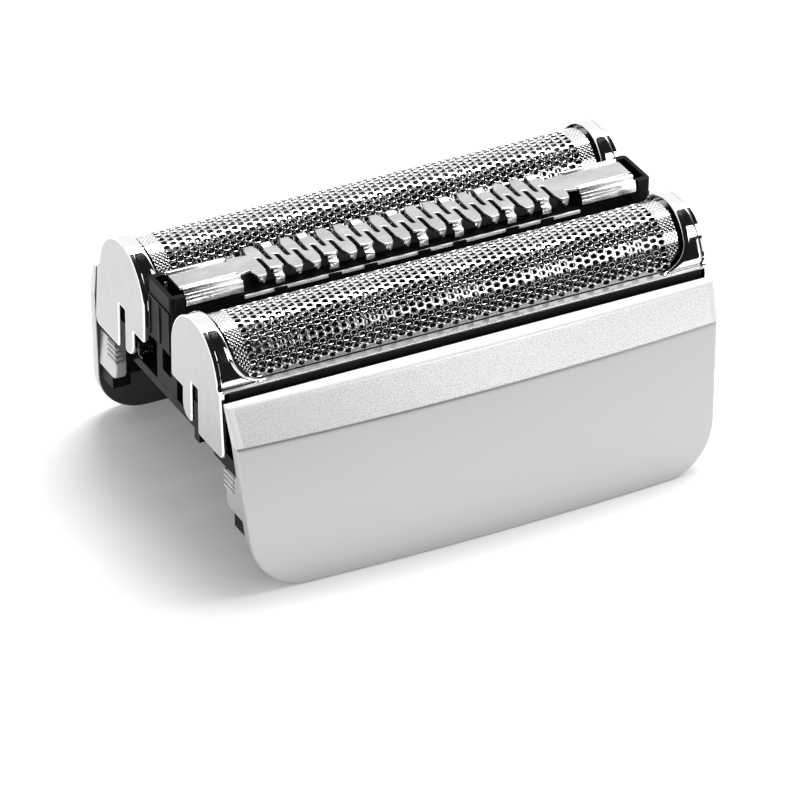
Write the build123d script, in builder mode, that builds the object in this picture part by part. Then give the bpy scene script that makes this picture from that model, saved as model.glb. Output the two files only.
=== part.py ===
"""Foil-and-cutter cassette of a dry shaver: two arched foils, a slotted trimmer between them.

Frame: X runs along the foils, -Y is the front, +Z is up. The origin is at the bottom
centre, on the surface that the two side panels stand on. Millimetres.
"""

import os
from math import cos, radians, sin

from build123d import *

os.makedirs("parts", exist_ok=True)

# Travel of the moving pieces
float_travel = 1.5  # foils and trimmer sink this far on their springs
cutter_stroke = 1.2  # cutter blocks, each way along X
trimmer_stroke = 0.8  # trimmer blade, each way along X
slide_fit = 0.05  # gap at every guide face
seat_gap = 0.1  # gap left between pieces at the end of their travel

# Foil arch: one axis along X, rear foil at +foil_y
cap_half = 23.46  # outer face of the end caps
foil_y = 7.2
arch_z = 17.9
foil_r = 4.1
foil_t = 0.1
foil_fit = 0.03
foil_end_gap = 0.4
foil_leg = 2.5

# Foil perforation: one flat strip of the arch for each row of holes
hole_rows = 6
strip_angle = 28.0
hole_pitch = 2.8
hole_length = 2.3
hole_width = 1.6
foil_margin = 1.5  # plain stretch at each end of the foil

# Chrome trim: ledge beside the foil, end caps with legs
cap_wall = 0.37
cap_plate = 0.8
hood_depth = 1.51
opening_corner_r = 2.4
ledge_w = 0.7
ledge_h = 0.15
ledge_flare_r = 0.45
cap_step_drop = 3.2  # drops are measured from the arch's axis
finger_drop = 5.9
finger_in = 2.4
finger_tip_r = 0.9
slot_drop = 1.9
slot_in = 0.4
slot_w = 1.05
leg_drop = 6.3
leg_splay = 0.35
leg_corner_r = 0.7
tunnel_r = foil_r + foil_fit
cap_r = tunnel_r + cap_wall
cap_in = cap_half - cap_plate
opening_half = cap_in - hood_depth
foil_half = opening_half - foil_end_gap
ledge_y = foil_y + cap_r + ledge_w
cap_step_z = arch_z - cap_step_drop
finger_z = arch_z - finger_drop
finger_y = foil_y - finger_in
slot_y = foil_y - slot_in
slot_top_z = arch_z - slot_drop
leg_z = arch_z - leg_drop
leg_y = ledge_y + leg_splay

# Black carrier ring under the trim, with a shelf for the cutter at each end
ring_h = 2.75
ring_inset = 0.03
ring_end_wall = 0.55
shelf_drop = 1.0
shelf_h = 0.9
shelf_half_y = 2.2
shelf_reach = 3.25
clip_half_y = 1.2  # snap leg that holds the ring down to the end beam
clip_leg_t = 0.7
clip_barb = 0.6
clip_barb_h = 0.7
ring_top = arch_z - ledge_h
ring_bottom = ring_top - ring_h
shelf_top = ring_bottom - shelf_drop
shelf_low = shelf_top - shelf_h

# Cutter block
blade_fit = 0.05
blade_t = 0.3
blade_pitch = 3.2
blade_window_w = 4.6
blade_window_h = 3.2
carrier_rise = 1.2
carrier_rail_h = 1.0
carrier_h = 4.2
carrier_web_half = 2.0
carrier_side_gap = 0.3
tongue_half_y = 1.8
socket_r = 1.6
socket_wall = 0.8
socket_h = 5.5
socket_depth = 4.5
carrier_top = ring_bottom + carrier_rise
carrier_web_z = carrier_top - carrier_h
socket_z = carrier_web_z - socket_h

# Side panels: bowed faces below a leaning band
rim_gap = 0.05
rim_wall = 0.85
rim_drop = 0.7
rim_inset = 0.06
rim_bow = 0.42
band_h = 3.4
band_lean = 1.43
band_bow = 0.95
band_step = 0.13
foot_lean = 3.04
foot_bow = 0.8
foot_taper = 1.3
panel_wall = 1.1  # at the ends; the bow adds to it in the middle
panel_corner_r = 5.0
rim_z = arch_z - rim_drop
band_z = rim_z - band_h
rim_inner_y = ledge_y + rim_gap
rim_y = rim_inner_y + rim_wall
band_y = rim_y + band_lean
foot_y = rim_y + foot_lean
rim_half = cap_half - rim_inset
foot_half = rim_half - foot_taper

# Black inner frame
liner_gap = 0.1
liner_wall = 0.75
liner_drop = 2.6
liner_inset = 2.26
beam_h = 0.9
beam_t = 1.6
beam_end_drop = 0.5
beam_end_out = 1.6
beam_rake = 0.4
spine_half_y = 2.2
spine_h = 1.4
rib_t = 0.6
hook_w = 2.4
hook_h = 1.4
hook_reach = 1.0
beam_top = shelf_low - float_travel - seat_gap
beam_low = beam_top - beam_h
beam_end_z = beam_low - beam_end_drop
beam_end_y = foil_y + beam_end_out
liner_high_z = rim_z - liner_drop

# Grip tab at each end of a panel, clasped between the beam's end and the liner's hook
tab_x_inset = 1.0
tab_t = 1.0
tab_h = 4.1
tab_reach = 4.3
tab_tip_r = 0.9
tab_sink = 0.25  # how far the tab runs into the panel's wall
tab_high_z = beam_end_z
tab_low_z = tab_high_z - tab_h
liner_low_z = tab_low_z - hook_h

# Trimmer comb: flat strip with folded edges, halfway between the foils
trimmer_gap = 0.36  # between the trimmer's end block and a foil's cap
comb_rise = 4.05  # top of the comb above the arch's axis
comb_t = 0.25
comb_inset = 1.61
comb_edge = 0.89
plate_length = 5.6
finger_pitch = 1.72
comb_slot_w = 0.36
comb_slot_past = 0.35
point_past = 0.11
point_w = 0.5
point_root_gap = 0.06
tab_fold_inset = 0.09
tab_fold_drop = 0.65
tab_fold_h = 0.55
tab_fold_w = 1.0
plate_fold_drop = 0.35
plate_fold_step = 0.2
plate_fold_h = 0.9
trim_half_y = foil_y - cap_r - trimmer_gap
comb_top_z = arch_z + comb_rise
comb_low = comb_top_z - comb_t
comb_half = cap_half - comb_inset
comb_half_y = trim_half_y - comb_edge
point_y = trim_half_y + point_past
tab_fold_y = trim_half_y - tab_fold_inset
tab_fold_z = comb_top_z - tab_fold_drop
plate_fold_y = tab_fold_y - plate_fold_step
plate_fold_z = comb_top_z - plate_fold_drop
plate_in = comb_half - plate_length

# Trimmer carrier
block_x_inset = 0.26
block_wall = 0.55
block_side_wall = 0.34
block_h = 5.7
block_corner_r = 0.45
block_recess_x = 0.9
block_recess_edge = 0.59
block_recess_h = 1.4
pad_h = 1.3
bar_h = 1.8
bar_edge = 0.24
rail_t = 0.18
rail_h = 0.35
rail_drop = 0.1
clip_w = 1.2
clip_t = 0.22
clip_foot_h = 0.6
catch_drop = 3.2  # from the bar's underside to the top of the window in a post
catch_half_y = 0.8
catch_h = 0.8
catch_t = 0.7
catch_barb = 0.6
post_t = 1.3
block_top_z = comb_low
block_low_z = block_top_z - block_h
block_out = cap_half - block_x_inset
bar_top = comb_low - pad_h
bar_low_z = bar_top - bar_h
bar_half_y = trim_half_y - bar_edge
rail_out_y = bar_half_y + rail_t
rail_z = bar_top - rail_drop - rail_h
catch_top_z = bar_low_z - catch_drop

# Trimmer blade and its shuttle
blade_gap = 0.03
tooth_past = 0.05
tooth_w = 0.9
blade_spine_half = 0.6
shuttle_half_y = 1.2
shuttle_leg_half_x = 3.0
shuttle_leg_half_y = 1.1
shuttle_leg_below = 2.1
shuttle_notch_w = 2.0
shuttle_notch_h = 2.5
slot_run = 0.3
tooth_y = comb_half_y + tooth_past
blade_low = comb_low - blade_gap - comb_t
shuttle_low = bar_top + slide_fit
shuttle_leg_z = beam_low - shuttle_leg_below

# Leaf springs
spring_t = 0.15
spring_foot = 0.7
spring_flat = 1.0
spring_half = 2.0
spring_w = 1.4
trimmer_spring_half = 1.75
trimmer_spring_w = 1.0


def export_pair(rear: Part, piece: str):
    """Writes a rear piece and its mirror image at the front."""
    front = mirror(rear, about=Plane.XZ)
    for side, solid in (("rear", rear), ("front", front)):
        solid.label = f"{side}_{piece}"
        export_step(solid, f"parts/{side}_{piece}.step")


def bowed_section(level: float, back: float, face: float, bow: float) -> Face:
    """Returns a level section between a straight back edge and a face bowed outwards."""
    with BuildSketch(Plane.XY.offset(level)) as section:
        with BuildLine():
            Polyline((-rim_half, face), (-rim_half, back), (rim_half, back), (rim_half, face))
            ThreePointArc((rim_half, face), (0, face + bow), (-rim_half, face))
        make_face()
    return section.sketch.face()


def arch_points(radius: float, low: float) -> list[tuple[float, float]]:
    """Returns the corners of an arch over the rear foil's axis: flat strips between two legs."""
    half_turn = hole_rows * strip_angle / 2
    turns = [radians(90 - half_turn + k * strip_angle) for k in range(hole_rows + 1)]
    crown = [(foil_y + radius * cos(t), arch_z + radius * sin(t)) for t in turns]
    right = [(foil_y + radius, low), (foil_y + radius, arch_z)]
    left = [(foil_y - radius, arch_z), (foil_y - radius, low)]
    return right + crown + left


def leaf_face(plane: Plane, half: float, low: float, high: float, y: float) -> Face:
    """Returns the bent outline of a leaf spring: two feet, two slopes and a flat crown."""
    with BuildSketch(plane) as leaf:
        with BuildLine():
            Polyline(
                (y - half, low),
                (y - half + spring_foot, low),
                (y - spring_flat / 2, high - spring_t),
                (y + spring_flat / 2, high - spring_t),
                (y + half - spring_foot, low),
                (y + half, low),
            )
            offset(amount=spring_t, side=Side.LEFT, kind=Kind.INTERSECTION)
        make_face()
    return leaf.sketch.face()


# Side panel: bowed shell, outline tapered to rounded lower corners, two grip tabs
panel_back = rim_inner_y - panel_wall
tab_outer_x = rim_half - tab_x_inset
tab_root_y = foot_y - panel_wall - tab_low_z / band_z * (foot_y - band_y) + tab_sink
tab_tip_y = foot_y - panel_wall - tab_reach
with BuildPart() as rear_panel:
    low_face = bowed_section(0, panel_back, foot_y, foot_bow)
    high_face = bowed_section(band_z, panel_back, band_y - band_step, band_bow)
    loft([low_face, high_face], ruled=True)
    low_face = bowed_section(band_z, panel_back, band_y, band_bow)
    high_face = bowed_section(rim_z, panel_back, rim_y, rim_bow)
    loft([low_face, high_face], ruled=True)
    with BuildSketch(Plane.YZ):
        Polygon(
            (panel_back, 0),
            (foot_y - panel_wall, 0),
            (band_y - panel_wall, band_z),
            (rim_inner_y, rim_z),
            (panel_back, rim_z),
            align=None,
        )
    extrude(amount=rim_half, both=True, mode=Mode.SUBTRACT)
    with BuildSketch(Plane.XZ) as outline:
        Polygon(
            (-foot_half, 0), (foot_half, 0), (rim_half, rim_z), (-rim_half, rim_z), align=None
        )
        fillet(outline.vertices().group_by(Axis.Y)[0], radius=panel_corner_r)
    extrude(amount=2 * foot_y, both=True, mode=Mode.INTERSECT)
    with BuildSketch(Plane.YZ.offset(tab_outer_x - tab_t)) as tab:
        with Locations((tab_tip_y, tab_low_z)):
            Rectangle(
                tab_root_y - tab_tip_y, tab_high_z - tab_low_z, align=(Align.MIN, Align.MIN)
            )
        fillet(tab.vertices().group_by(Axis.X)[0], radius=tab_tip_r)
    extrude(amount=tab_t)
    mirror(rear_panel.part, about=Plane.YZ)
export_pair(rear_panel.part, "panel")

# Inner frame: two liners, two end beams with trimmer posts and guide ribs, one spine
beam_out = cap_in - slide_fit
beam_in = beam_out - beam_t
liner_half = cap_half - liner_inset
liner_top_y = rim_inner_y + (rim_z - liner_high_z) / band_h * (band_y - panel_wall - rim_inner_y)
liner_low_y = foot_y - panel_wall - liner_low_z / band_z * (foot_y - band_y)
beam_reach = liner_low_y - liner_gap - liner_wall
beam_foot_y = beam_end_y + beam_end_drop
rib_in = cap_in + slide_fit
rib_top = slot_top_z - float_travel - seat_gap
post_top = bar_low_z - float_travel - seat_gap
post_half_y = trim_half_y - block_side_wall - slide_fit
post_out = cap_half - block_x_inset - block_wall - slide_fit
leg_run = shuttle_leg_half_x + trimmer_stroke + slot_run
with BuildPart() as inner_frame:
    with BuildSketch(Plane.YZ):
        Polygon(
            (liner_top_y - liner_gap - liner_wall, liner_high_z),
            (liner_top_y - liner_gap, liner_high_z),
            (liner_low_y - liner_gap, liner_low_z),
            (liner_low_y - liner_gap - liner_wall, liner_low_z),
            align=None,
        )
    extrude(amount=liner_half)
    with BuildSketch(Plane.YZ.offset(beam_in)):
        Polygon(
            (0, beam_top),
            (beam_reach - beam_rake, beam_top),
            (beam_reach, beam_end_z),
            (beam_foot_y, beam_end_z),
            (beam_end_y, beam_low),
            (0, beam_low),
            align=None,
        )
    extrude(amount=beam_t)
    with BuildSketch(Plane.XY.offset(beam_top)):
        with Locations((post_out, 0)):
            Rectangle(post_t, post_half_y, align=(Align.MAX, Align.MIN))
    extrude(amount=post_top - beam_top)
    with BuildSketch(Plane.XY.offset(beam_low)):
        with Locations((beam_out, slot_y + slot_w / 2)):
            Rectangle(
                rib_in + rib_t - beam_out, slot_w - 2 * slide_fit, align=(Align.MIN, Align.CENTER)
            )
    extrude(amount=beam_h)
    with BuildSketch(Plane.XY.offset(beam_low)):
        with Locations((rib_in, slot_y + slot_w / 2)):
            Rectangle(rib_t, slot_w - 2 * slide_fit, align=(Align.MIN, Align.CENTER))
    extrude(amount=rib_top - beam_low)
    with BuildSketch(Plane.XY.offset(liner_low_z)):
        with Locations((liner_half - liner_wall, beam_reach - hook_w + liner_wall)):
            Rectangle(hook_reach + liner_wall, hook_w, align=(Align.MIN, Align.MIN))
    extrude(amount=tab_low_z - liner_low_z)
    with BuildSketch(Plane.XY.offset(beam_low)):
        Rectangle(beam_in, spine_half_y, align=(Align.MIN, Align.MIN))
        Rectangle(
            leg_run,
            shuttle_leg_half_y + seat_gap,
            align=(Align.MIN, Align.MIN),
            mode=Mode.SUBTRACT,
        )
    extrude(amount=spine_h)
    with BuildSketch(Plane.YZ.offset(post_out)):
        with Locations((0, catch_top_z)):
            Rectangle(
                catch_half_y + slide_fit,
                catch_h + float_travel + seat_gap,
                align=(Align.MIN, Align.MAX),
            )
    extrude(amount=-post_t, mode=Mode.SUBTRACT)
    mirror(inner_frame.part, about=Plane.XZ)
    mirror(inner_frame.part, about=Plane.YZ)
inner_frame.part.label = "inner_frame"
export_step(inner_frame.part, "parts/inner_frame.step")

# Chrome trim of one foil: arched hood with a rounded opening, end caps with legs
with BuildPart() as foil_trim:
    with BuildSketch(Plane.YZ) as hood:
        with BuildLine():
            ThreePointArc(
                (foil_y - cap_r, arch_z), (foil_y, arch_z + cap_r), (foil_y + cap_r, arch_z)
            )
            Polyline(
                (foil_y + cap_r, arch_z),
                (ledge_y, arch_z),
                (ledge_y, ring_top),
                (foil_y - cap_r, ring_top),
                (foil_y - cap_r, arch_z),
            )
        make_face()
        fillet(
            hood.vertices().sort_by_distance((foil_y + cap_r, arch_z))[0], radius=ledge_flare_r
        )
    extrude(amount=cap_in, both=True)
    with BuildSketch(Plane.YZ):
        with Locations((foil_y, arch_z)):
            Circle(tunnel_r)
        with Locations((foil_y, arch_z - tunnel_r)):
            Rectangle(2 * tunnel_r, 2 * tunnel_r)
    extrude(amount=cap_in, both=True, mode=Mode.SUBTRACT)
    with BuildSketch(Plane.XZ) as opening:
        with Locations((0, arch_z)):
            Rectangle(2 * opening_half, 3 * cap_r, align=(Align.CENTER, Align.MIN))
        fillet(opening.vertices().group_by(Axis.Y)[0], radius=opening_corner_r)
    extrude(amount=-2 * ledge_y, mode=Mode.SUBTRACT)
    with BuildSketch(Plane.YZ.offset(cap_in)) as cap:
        with BuildLine():
            ThreePointArc(
                (foil_y - cap_r, arch_z), (foil_y, arch_z + cap_r), (foil_y + cap_r, arch_z)
            )
            Polyline(
                (foil_y + cap_r, arch_z),
                (ledge_y, arch_z),
                (ledge_y, ring_top),
                (leg_y, leg_z),
                (slot_y + slot_w, leg_z),
                (slot_y + slot_w, slot_top_z),
                (slot_y, slot_top_z),
                (slot_y, finger_z),
                (finger_y, finger_z),
                (finger_y, cap_step_z),
                (foil_y - cap_r, cap_step_z),
                (foil_y - cap_r, arch_z),
            )
        make_face()
        fillet(cap.vertices().sort_by_distance((foil_y + cap_r, arch_z))[0], radius=ledge_flare_r)
        fillet(cap.vertices().sort_by_distance((finger_y, finger_z))[0], radius=finger_tip_r)
        fillet(cap.vertices().sort_by_distance((leg_y, leg_z))[0], radius=leg_corner_r)
    extrude(amount=cap_plate)
    mirror(foil_trim.part, about=Plane.YZ)
export_pair(foil_trim.part, "foil_trim")

# Carrier ring of one foil: shelf for the cutter's tongue and a snap leg at each end
ring_in_y = foil_y - cap_r + ring_inset
ring_out_y = ledge_y - ring_inset
clip_out = beam_in - slide_fit
clip_low = beam_low - clip_barb_h
with BuildPart() as foil_carrier:
    with BuildSketch(Plane.XY.offset(ring_bottom)):
        with Locations((0, (ring_in_y + ring_out_y) / 2)):
            Rectangle(2 * cap_in, ring_out_y - ring_in_y)
        with Locations((0, foil_y)):
            Rectangle(2 * (cap_in - ring_end_wall), 2 * foil_r, mode=Mode.SUBTRACT)
    extrude(amount=ring_h)
    with BuildSketch(Plane.XZ.offset(-foil_y)):
        Polygon(
            (cap_in, ring_bottom),
            (cap_in - ring_end_wall, ring_bottom),
            (cap_in - ring_end_wall, shelf_top),
            (cap_in - shelf_reach, shelf_top),
            (cap_in - shelf_reach, shelf_low),
            (cap_in, shelf_low),
            align=None,
        )
    extrude(amount=shelf_half_y, both=True)
    with BuildSketch(Plane.XZ.offset(-foil_y)):
        Polygon(
            (clip_out, shelf_low),
            (clip_out - clip_leg_t, shelf_low),
            (clip_out - clip_leg_t, clip_low),
            (clip_out, clip_low),
            (clip_out + clip_barb, beam_low),
            (clip_out, beam_low),
            align=None,
        )
    extrude(amount=clip_half_y, both=True)
    mirror(foil_carrier.part, about=Plane.YZ)
export_pair(foil_carrier.part, "foil_carrier")

# Perforated foil: thin sheet folded to an arch, with straight legs inside the ring
hole_columns = int(2 * (foil_half - foil_margin) / hole_pitch)
with BuildPart() as foil:
    with BuildSketch(Plane.YZ):
        with BuildLine():
            Polyline(*arch_points(foil_r, arch_z - foil_leg))
            offset(amount=foil_t, side=Side.LEFT, kind=Kind.INTERSECTION)
        make_face()
    extrude(amount=foil_half, both=True)
    for row in range(hole_rows):
        turn = radians(90 + (row - (hole_rows - 1) / 2) * strip_angle)
        strip_r = foil_r * cos(radians(strip_angle / 2))
        spot = (0, foil_y + strip_r * cos(turn), arch_z + strip_r * sin(turn))
        with BuildSketch(Plane(origin=spot, x_dir=(1, 0, 0), z_dir=(0, cos(turn), sin(turn)))):
            with GridLocations(hole_pitch, hole_pitch, hole_columns - row % 2, 1):
                Polygon(
                    (-hole_length / 2, 0),
                    (0, -hole_width / 2),
                    (hole_length / 2, 0),
                    (0, hole_width / 2),
                    align=None,
                )
        extrude(amount=2 * foil_t, both=True, mode=Mode.SUBTRACT)
export_pair(foil.part, "foil")

# Cutter block: arched blades in a row, standing on a carrier with a drive socket
shelf_start = cap_in - shelf_reach
carrier_half = shelf_start - cutter_stroke - seat_gap
tongue_end = cap_in - ring_end_wall - cutter_stroke - seat_gap
rail_low = carrier_top - carrier_rail_h
blade_r = foil_r - foil_t - blade_fit
blade_count = 2 * int((carrier_half - blade_t) / blade_pitch) + 1
blade_planes = [
    Plane.YZ.offset((k - (blade_count - 1) / 2) * blade_pitch) for k in range(blade_count)
]
with BuildPart() as cutter_blades:
    with BuildSketch(*blade_planes):
        Polygon(*arch_points(blade_r, carrier_top), align=None)
        with Locations((foil_y, carrier_top)):
            Rectangle(
                blade_window_w,
                blade_window_h,
                align=(Align.CENTER, Align.MIN),
                mode=Mode.SUBTRACT,
            )
    extrude(amount=blade_t / 2, both=True)
export_pair(cutter_blades.part, "cutter_blades")

with BuildPart() as cutter_carrier:
    with Locations((0, foil_y, rail_low)):
        Box(
            2 * carrier_half,
            2 * (foil_r - foil_t - carrier_side_gap),
            carrier_rail_h,
            align=(Align.CENTER, Align.CENTER, Align.MIN),
        )
    with Locations((0, foil_y, carrier_web_z)):
        Box(
            2 * carrier_half,
            2 * carrier_web_half,
            rail_low - carrier_web_z,
            align=(Align.CENTER, Align.CENTER, Align.MIN),
        )
    with Locations((0, foil_y, shelf_top + slide_fit)):
        Box(
            2 * tongue_end,
            2 * tongue_half_y,
            rail_low - shelf_top - slide_fit,
            align=(Align.CENTER, Align.CENTER, Align.MIN),
        )
    with Locations((0, foil_y, socket_z)):
        Box(
            2 * (socket_r + socket_wall),
            2 * (socket_r + socket_wall),
            carrier_web_z - socket_z,
            align=(Align.CENTER, Align.CENTER, Align.MIN),
        )
        Cylinder(
            socket_r,
            socket_depth,
            align=(Align.CENTER, Align.CENTER, Align.MIN),
            mode=Mode.SUBTRACT,
        )
export_pair(cutter_carrier.part, "cutter_carrier")

# Leaf springs under one foil: feet on the end beam, crown under the shelf
with BuildPart() as foil_springs:
    spring_plane = Plane.YZ.offset(beam_in + (beam_t - spring_w) / 2)
    extrude(leaf_face(spring_plane, spring_half, beam_top, shelf_low, foil_y), amount=spring_w)
    mirror(foil_springs.part, about=Plane.YZ)
export_pair(foil_springs.part, "foil_springs")

# Trimmer: places of the fingers, tabs on two fingers in every five
front_count = 2 * int(plate_in / finger_pitch)
front_fingers = [(k - (front_count - 1) / 2) * finger_pitch for k in range(front_count)]
rear_fingers = [(k - (front_count - 2) / 2) * finger_pitch for k in range(front_count - 1)]
front_tabs = [x for k, x in enumerate(front_fingers) if k % 5 in (1, 4)]
rear_tabs = [x for k, x in enumerate(rear_fingers) if k % 5 in (1, 3)]
post_in = post_out - post_t

# Trimmer carrier: bar with clips and pads, end blocks that ride on the posts
with BuildPart() as trimmer_carrier:
    with BuildSketch(Plane.XY.offset(block_low_z)) as block:
        with Locations((post_in, 0)):
            Rectangle(block_out - post_in, 2 * trim_half_y, align=(Align.MIN, Align.CENTER))
        fillet(block.vertices().group_by(Axis.X)[-1], radius=block_corner_r)
    extrude(amount=block_top_z - block_low_z)
    with Locations((post_in, 0, block_low_z)):
        Box(
            block_out - block_wall - post_in,
            2 * (trim_half_y - block_side_wall),
            bar_low_z - block_low_z,
            align=(Align.MIN, Align.CENTER, Align.MIN),
            mode=Mode.SUBTRACT,
        )
    with Locations((post_in, 0, bar_top)):
        Box(
            comb_half + slide_fit - post_in,
            2 * trim_half_y,
            block_top_z - bar_top,
            align=(Align.MIN, Align.CENTER, Align.MIN),
            mode=Mode.SUBTRACT,
        )
    with Locations((comb_half + slide_fit, 0, block_top_z)):
        Box(
            block_recess_x,
            2 * (trim_half_y - block_recess_edge),
            block_recess_h,
            align=(Align.MIN, Align.CENTER, Align.MAX),
            mode=Mode.SUBTRACT,
        )
    with Locations((plate_in, 0, bar_top)):
        Box(
            comb_half - plate_in,
            2 * (comb_half_y - comb_t),
            comb_low - bar_top,
            align=(Align.MIN, Align.CENTER, Align.MIN),
        )
    with BuildSketch(Plane.XZ):
        Polygon(
            (post_in - slide_fit, bar_low_z),
            (post_in - slide_fit - catch_t, bar_low_z),
            (post_in - slide_fit - catch_t, catch_top_z - catch_h),
            (post_in - slide_fit, catch_top_z - catch_h),
            (post_in - slide_fit + catch_barb, catch_top_z),
            (post_in - slide_fit, catch_top_z),
            align=None,
        )
    extrude(amount=catch_half_y, both=True)
    mirror(trimmer_carrier.part, about=Plane.YZ)
    with Locations((0, 0, bar_low_z)):
        Box(2 * comb_half, 2 * bar_half_y, bar_h, align=(Align.CENTER, Align.CENTER, Align.MIN))
        Box(
            2 * leg_run,
            2 * (shuttle_leg_half_y + seat_gap),
            bar_h,
            align=(Align.CENTER, Align.CENTER, Align.MIN),
            mode=Mode.SUBTRACT,
        )
    for side, tabs in ((-1, front_tabs), (1, rear_tabs)):
        with Locations(*[(x, side * (bar_half_y + rail_out_y + clip_t) / 2, rail_z) for x in tabs]):
            Box(
                clip_w,
                rail_t + clip_t,
                clip_foot_h,
                align=(Align.CENTER, Align.CENTER, Align.MAX),
            )
        with Locations(*[(x, side * (rail_out_y + clip_t / 2), rail_z) for x in tabs]):
            Box(clip_w, clip_t, rail_h, align=(Align.CENTER, Align.CENTER, Align.MIN))
trimmer_carrier.part.label = "trimmer_carrier"
export_step(trimmer_carrier.part, "parts/trimmer_carrier.step")

# Trimmer comb: one folded sheet, zigzag of slots, pointed fingers, folded tabs and end plates
with BuildPart() as trimmer_comb:
    with BuildSketch(Plane.XY.offset(comb_low)):
        Rectangle(2 * comb_half, 2 * comb_half_y)
        root_w = finger_pitch - comb_slot_w - point_root_gap
        for side, fingers, tabs in ((-1, front_fingers, front_tabs), (1, rear_fingers, rear_tabs)):
            for x in fingers:
                if x not in tabs:
                    Polygon(
                        (x - root_w / 2, side * comb_half_y),
                        (x + root_w / 2, side * comb_half_y),
                        (x + point_w / 2, side * point_y),
                        (x - point_w / 2, side * point_y),
                        align=None,
                    )
        slot_length = comb_half_y + 2 * comb_slot_past
        slot_mid = slot_length / 2 - comb_slot_past
        with Locations(*[(x, -slot_mid) for x in rear_fingers]):
            Rectangle(comb_slot_w, slot_length, mode=Mode.SUBTRACT)
        with Locations(*[(x, slot_mid) for x in front_fingers]):
            Rectangle(comb_slot_w, slot_length, mode=Mode.SUBTRACT)
    extrude(amount=comb_t)
    tab_points = [
        (comb_half_y - comb_t, comb_top_z),
        (comb_half_y + comb_t, comb_top_z),
        (tab_fold_y, tab_fold_z),
        (tab_fold_y, tab_fold_z - tab_fold_h),
        (tab_fold_y - comb_t, tab_fold_z - tab_fold_h),
        (tab_fold_y - comb_t, tab_fold_z - comb_t / 2),
        (comb_half_y, comb_low),
        (comb_half_y - comb_t, comb_low),
    ]
    for side, tabs in ((-1, front_tabs), (1, rear_tabs)):
        with BuildSketch(*[Plane.YZ.offset(x) for x in tabs]):
            Polygon(*[(side * y, z) for y, z in tab_points], align=None)
        extrude(amount=tab_fold_w / 2, both=True)
    fold_points = [
        (comb_half_y - comb_t, comb_top_z),
        (comb_half_y, comb_top_z),
        (plate_fold_y, plate_fold_z),
        (plate_fold_y, plate_fold_z - plate_fold_step),
        (plate_fold_y + plate_fold_step, plate_fold_z - 2 * plate_fold_step),
        (plate_fold_y + plate_fold_step, plate_fold_z - plate_fold_h),
        (plate_fold_y + plate_fold_step - comb_t, plate_fold_z - plate_fold_h),
        (plate_fold_y - comb_t, plate_fold_z - 2 * plate_fold_step),
        (comb_half_y - comb_t, comb_low),
    ]
    fold_mid = (plate_in + comb_half) / 2
    for side in (-1, 1):
        with BuildSketch(Plane.YZ.offset(-fold_mid), Plane.YZ.offset(fold_mid)):
            Polygon(*[(side * y, z) for y, z in fold_points], align=None)
        extrude(amount=plate_length / 2 - comb_t, both=True)
trimmer_comb.part.label = "trimmer_comb"
export_step(trimmer_comb.part, "parts/trimmer_comb.step")

# Bright rails along the bar, held by the carrier's clips
with BuildPart() as trimmer_rails:
    with Locations(*[(0, side * (bar_half_y + rail_t / 2), rail_z) for side in (-1, 1)]):
        Box(2 * plate_in, rail_t, rail_h, align=(Align.CENTER, Align.CENTER, Align.MIN))
trimmer_rails.part.label = "trimmer_rails"
export_step(trimmer_rails.part, "parts/trimmer_rails.step")

# Moving trimmer blade under the comb, on a shuttle with a drive leg
blade_half = plate_in - trimmer_stroke - seat_gap
with BuildPart() as trimmer_blade:
    with BuildSketch(Plane.XY.offset(blade_low)):
        Rectangle(2 * blade_half, 2 * blade_spine_half)
        with Locations(*[(x, -tooth_y / 2) for x in front_fingers]):
            Rectangle(tooth_w, tooth_y)
        with Locations(*[(x, tooth_y / 2) for x in rear_fingers]):
            Rectangle(tooth_w, tooth_y)
    extrude(amount=comb_t)
trimmer_blade.part.label = "trimmer_blade"
export_step(trimmer_blade.part, "parts/trimmer_blade.step")

with BuildPart() as trimmer_shuttle:
    with Locations((0, 0, shuttle_low)):
        Box(
            2 * (blade_half - tooth_w),
            2 * shuttle_half_y,
            blade_low - shuttle_low,
            align=(Align.CENTER, Align.CENTER, Align.MIN),
        )
    with Locations((0, 0, shuttle_leg_z)):
        Box(
            2 * shuttle_leg_half_x,
            2 * shuttle_leg_half_y,
            shuttle_low - shuttle_leg_z,
            align=(Align.CENTER, Align.CENTER, Align.MIN),
        )
        Box(
            shuttle_notch_w,
            2 * shuttle_leg_half_y,
            shuttle_notch_h,
            align=(Align.CENTER, Align.CENTER, Align.MIN),
            mode=Mode.SUBTRACT,
        )
trimmer_shuttle.part.label = "trimmer_shuttle"
export_step(trimmer_shuttle.part, "parts/trimmer_shuttle.step")

# Leaf springs under the trimmer: feet on the posts, crown under the end blocks
with BuildPart() as trimmer_springs:
    spring_plane = Plane.YZ.offset(post_out - (post_t + trimmer_spring_w) / 2)
    spring_face = leaf_face(spring_plane, trimmer_spring_half, post_top, bar_low_z, 0)
    extrude(spring_face, amount=trimmer_spring_w)
    mirror(trimmer_springs.part, about=Plane.YZ)
trimmer_springs.part.label = "trimmer_springs"
export_step(trimmer_springs.part, "parts/trimmer_springs.step")
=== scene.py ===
"""Dresses the shaver foil head: panels, chrome frames, perforated foils, trimmer and studio.

Sizes are millimetres in the part's own frame: X runs along the foils, -Y is the front, +Z is up.
"""

import logging
from dataclasses import dataclass, field
from enum import Enum
from typing import Any

import bmesh
import bpy
import numpy as np
from mathutils import Matrix


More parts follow.
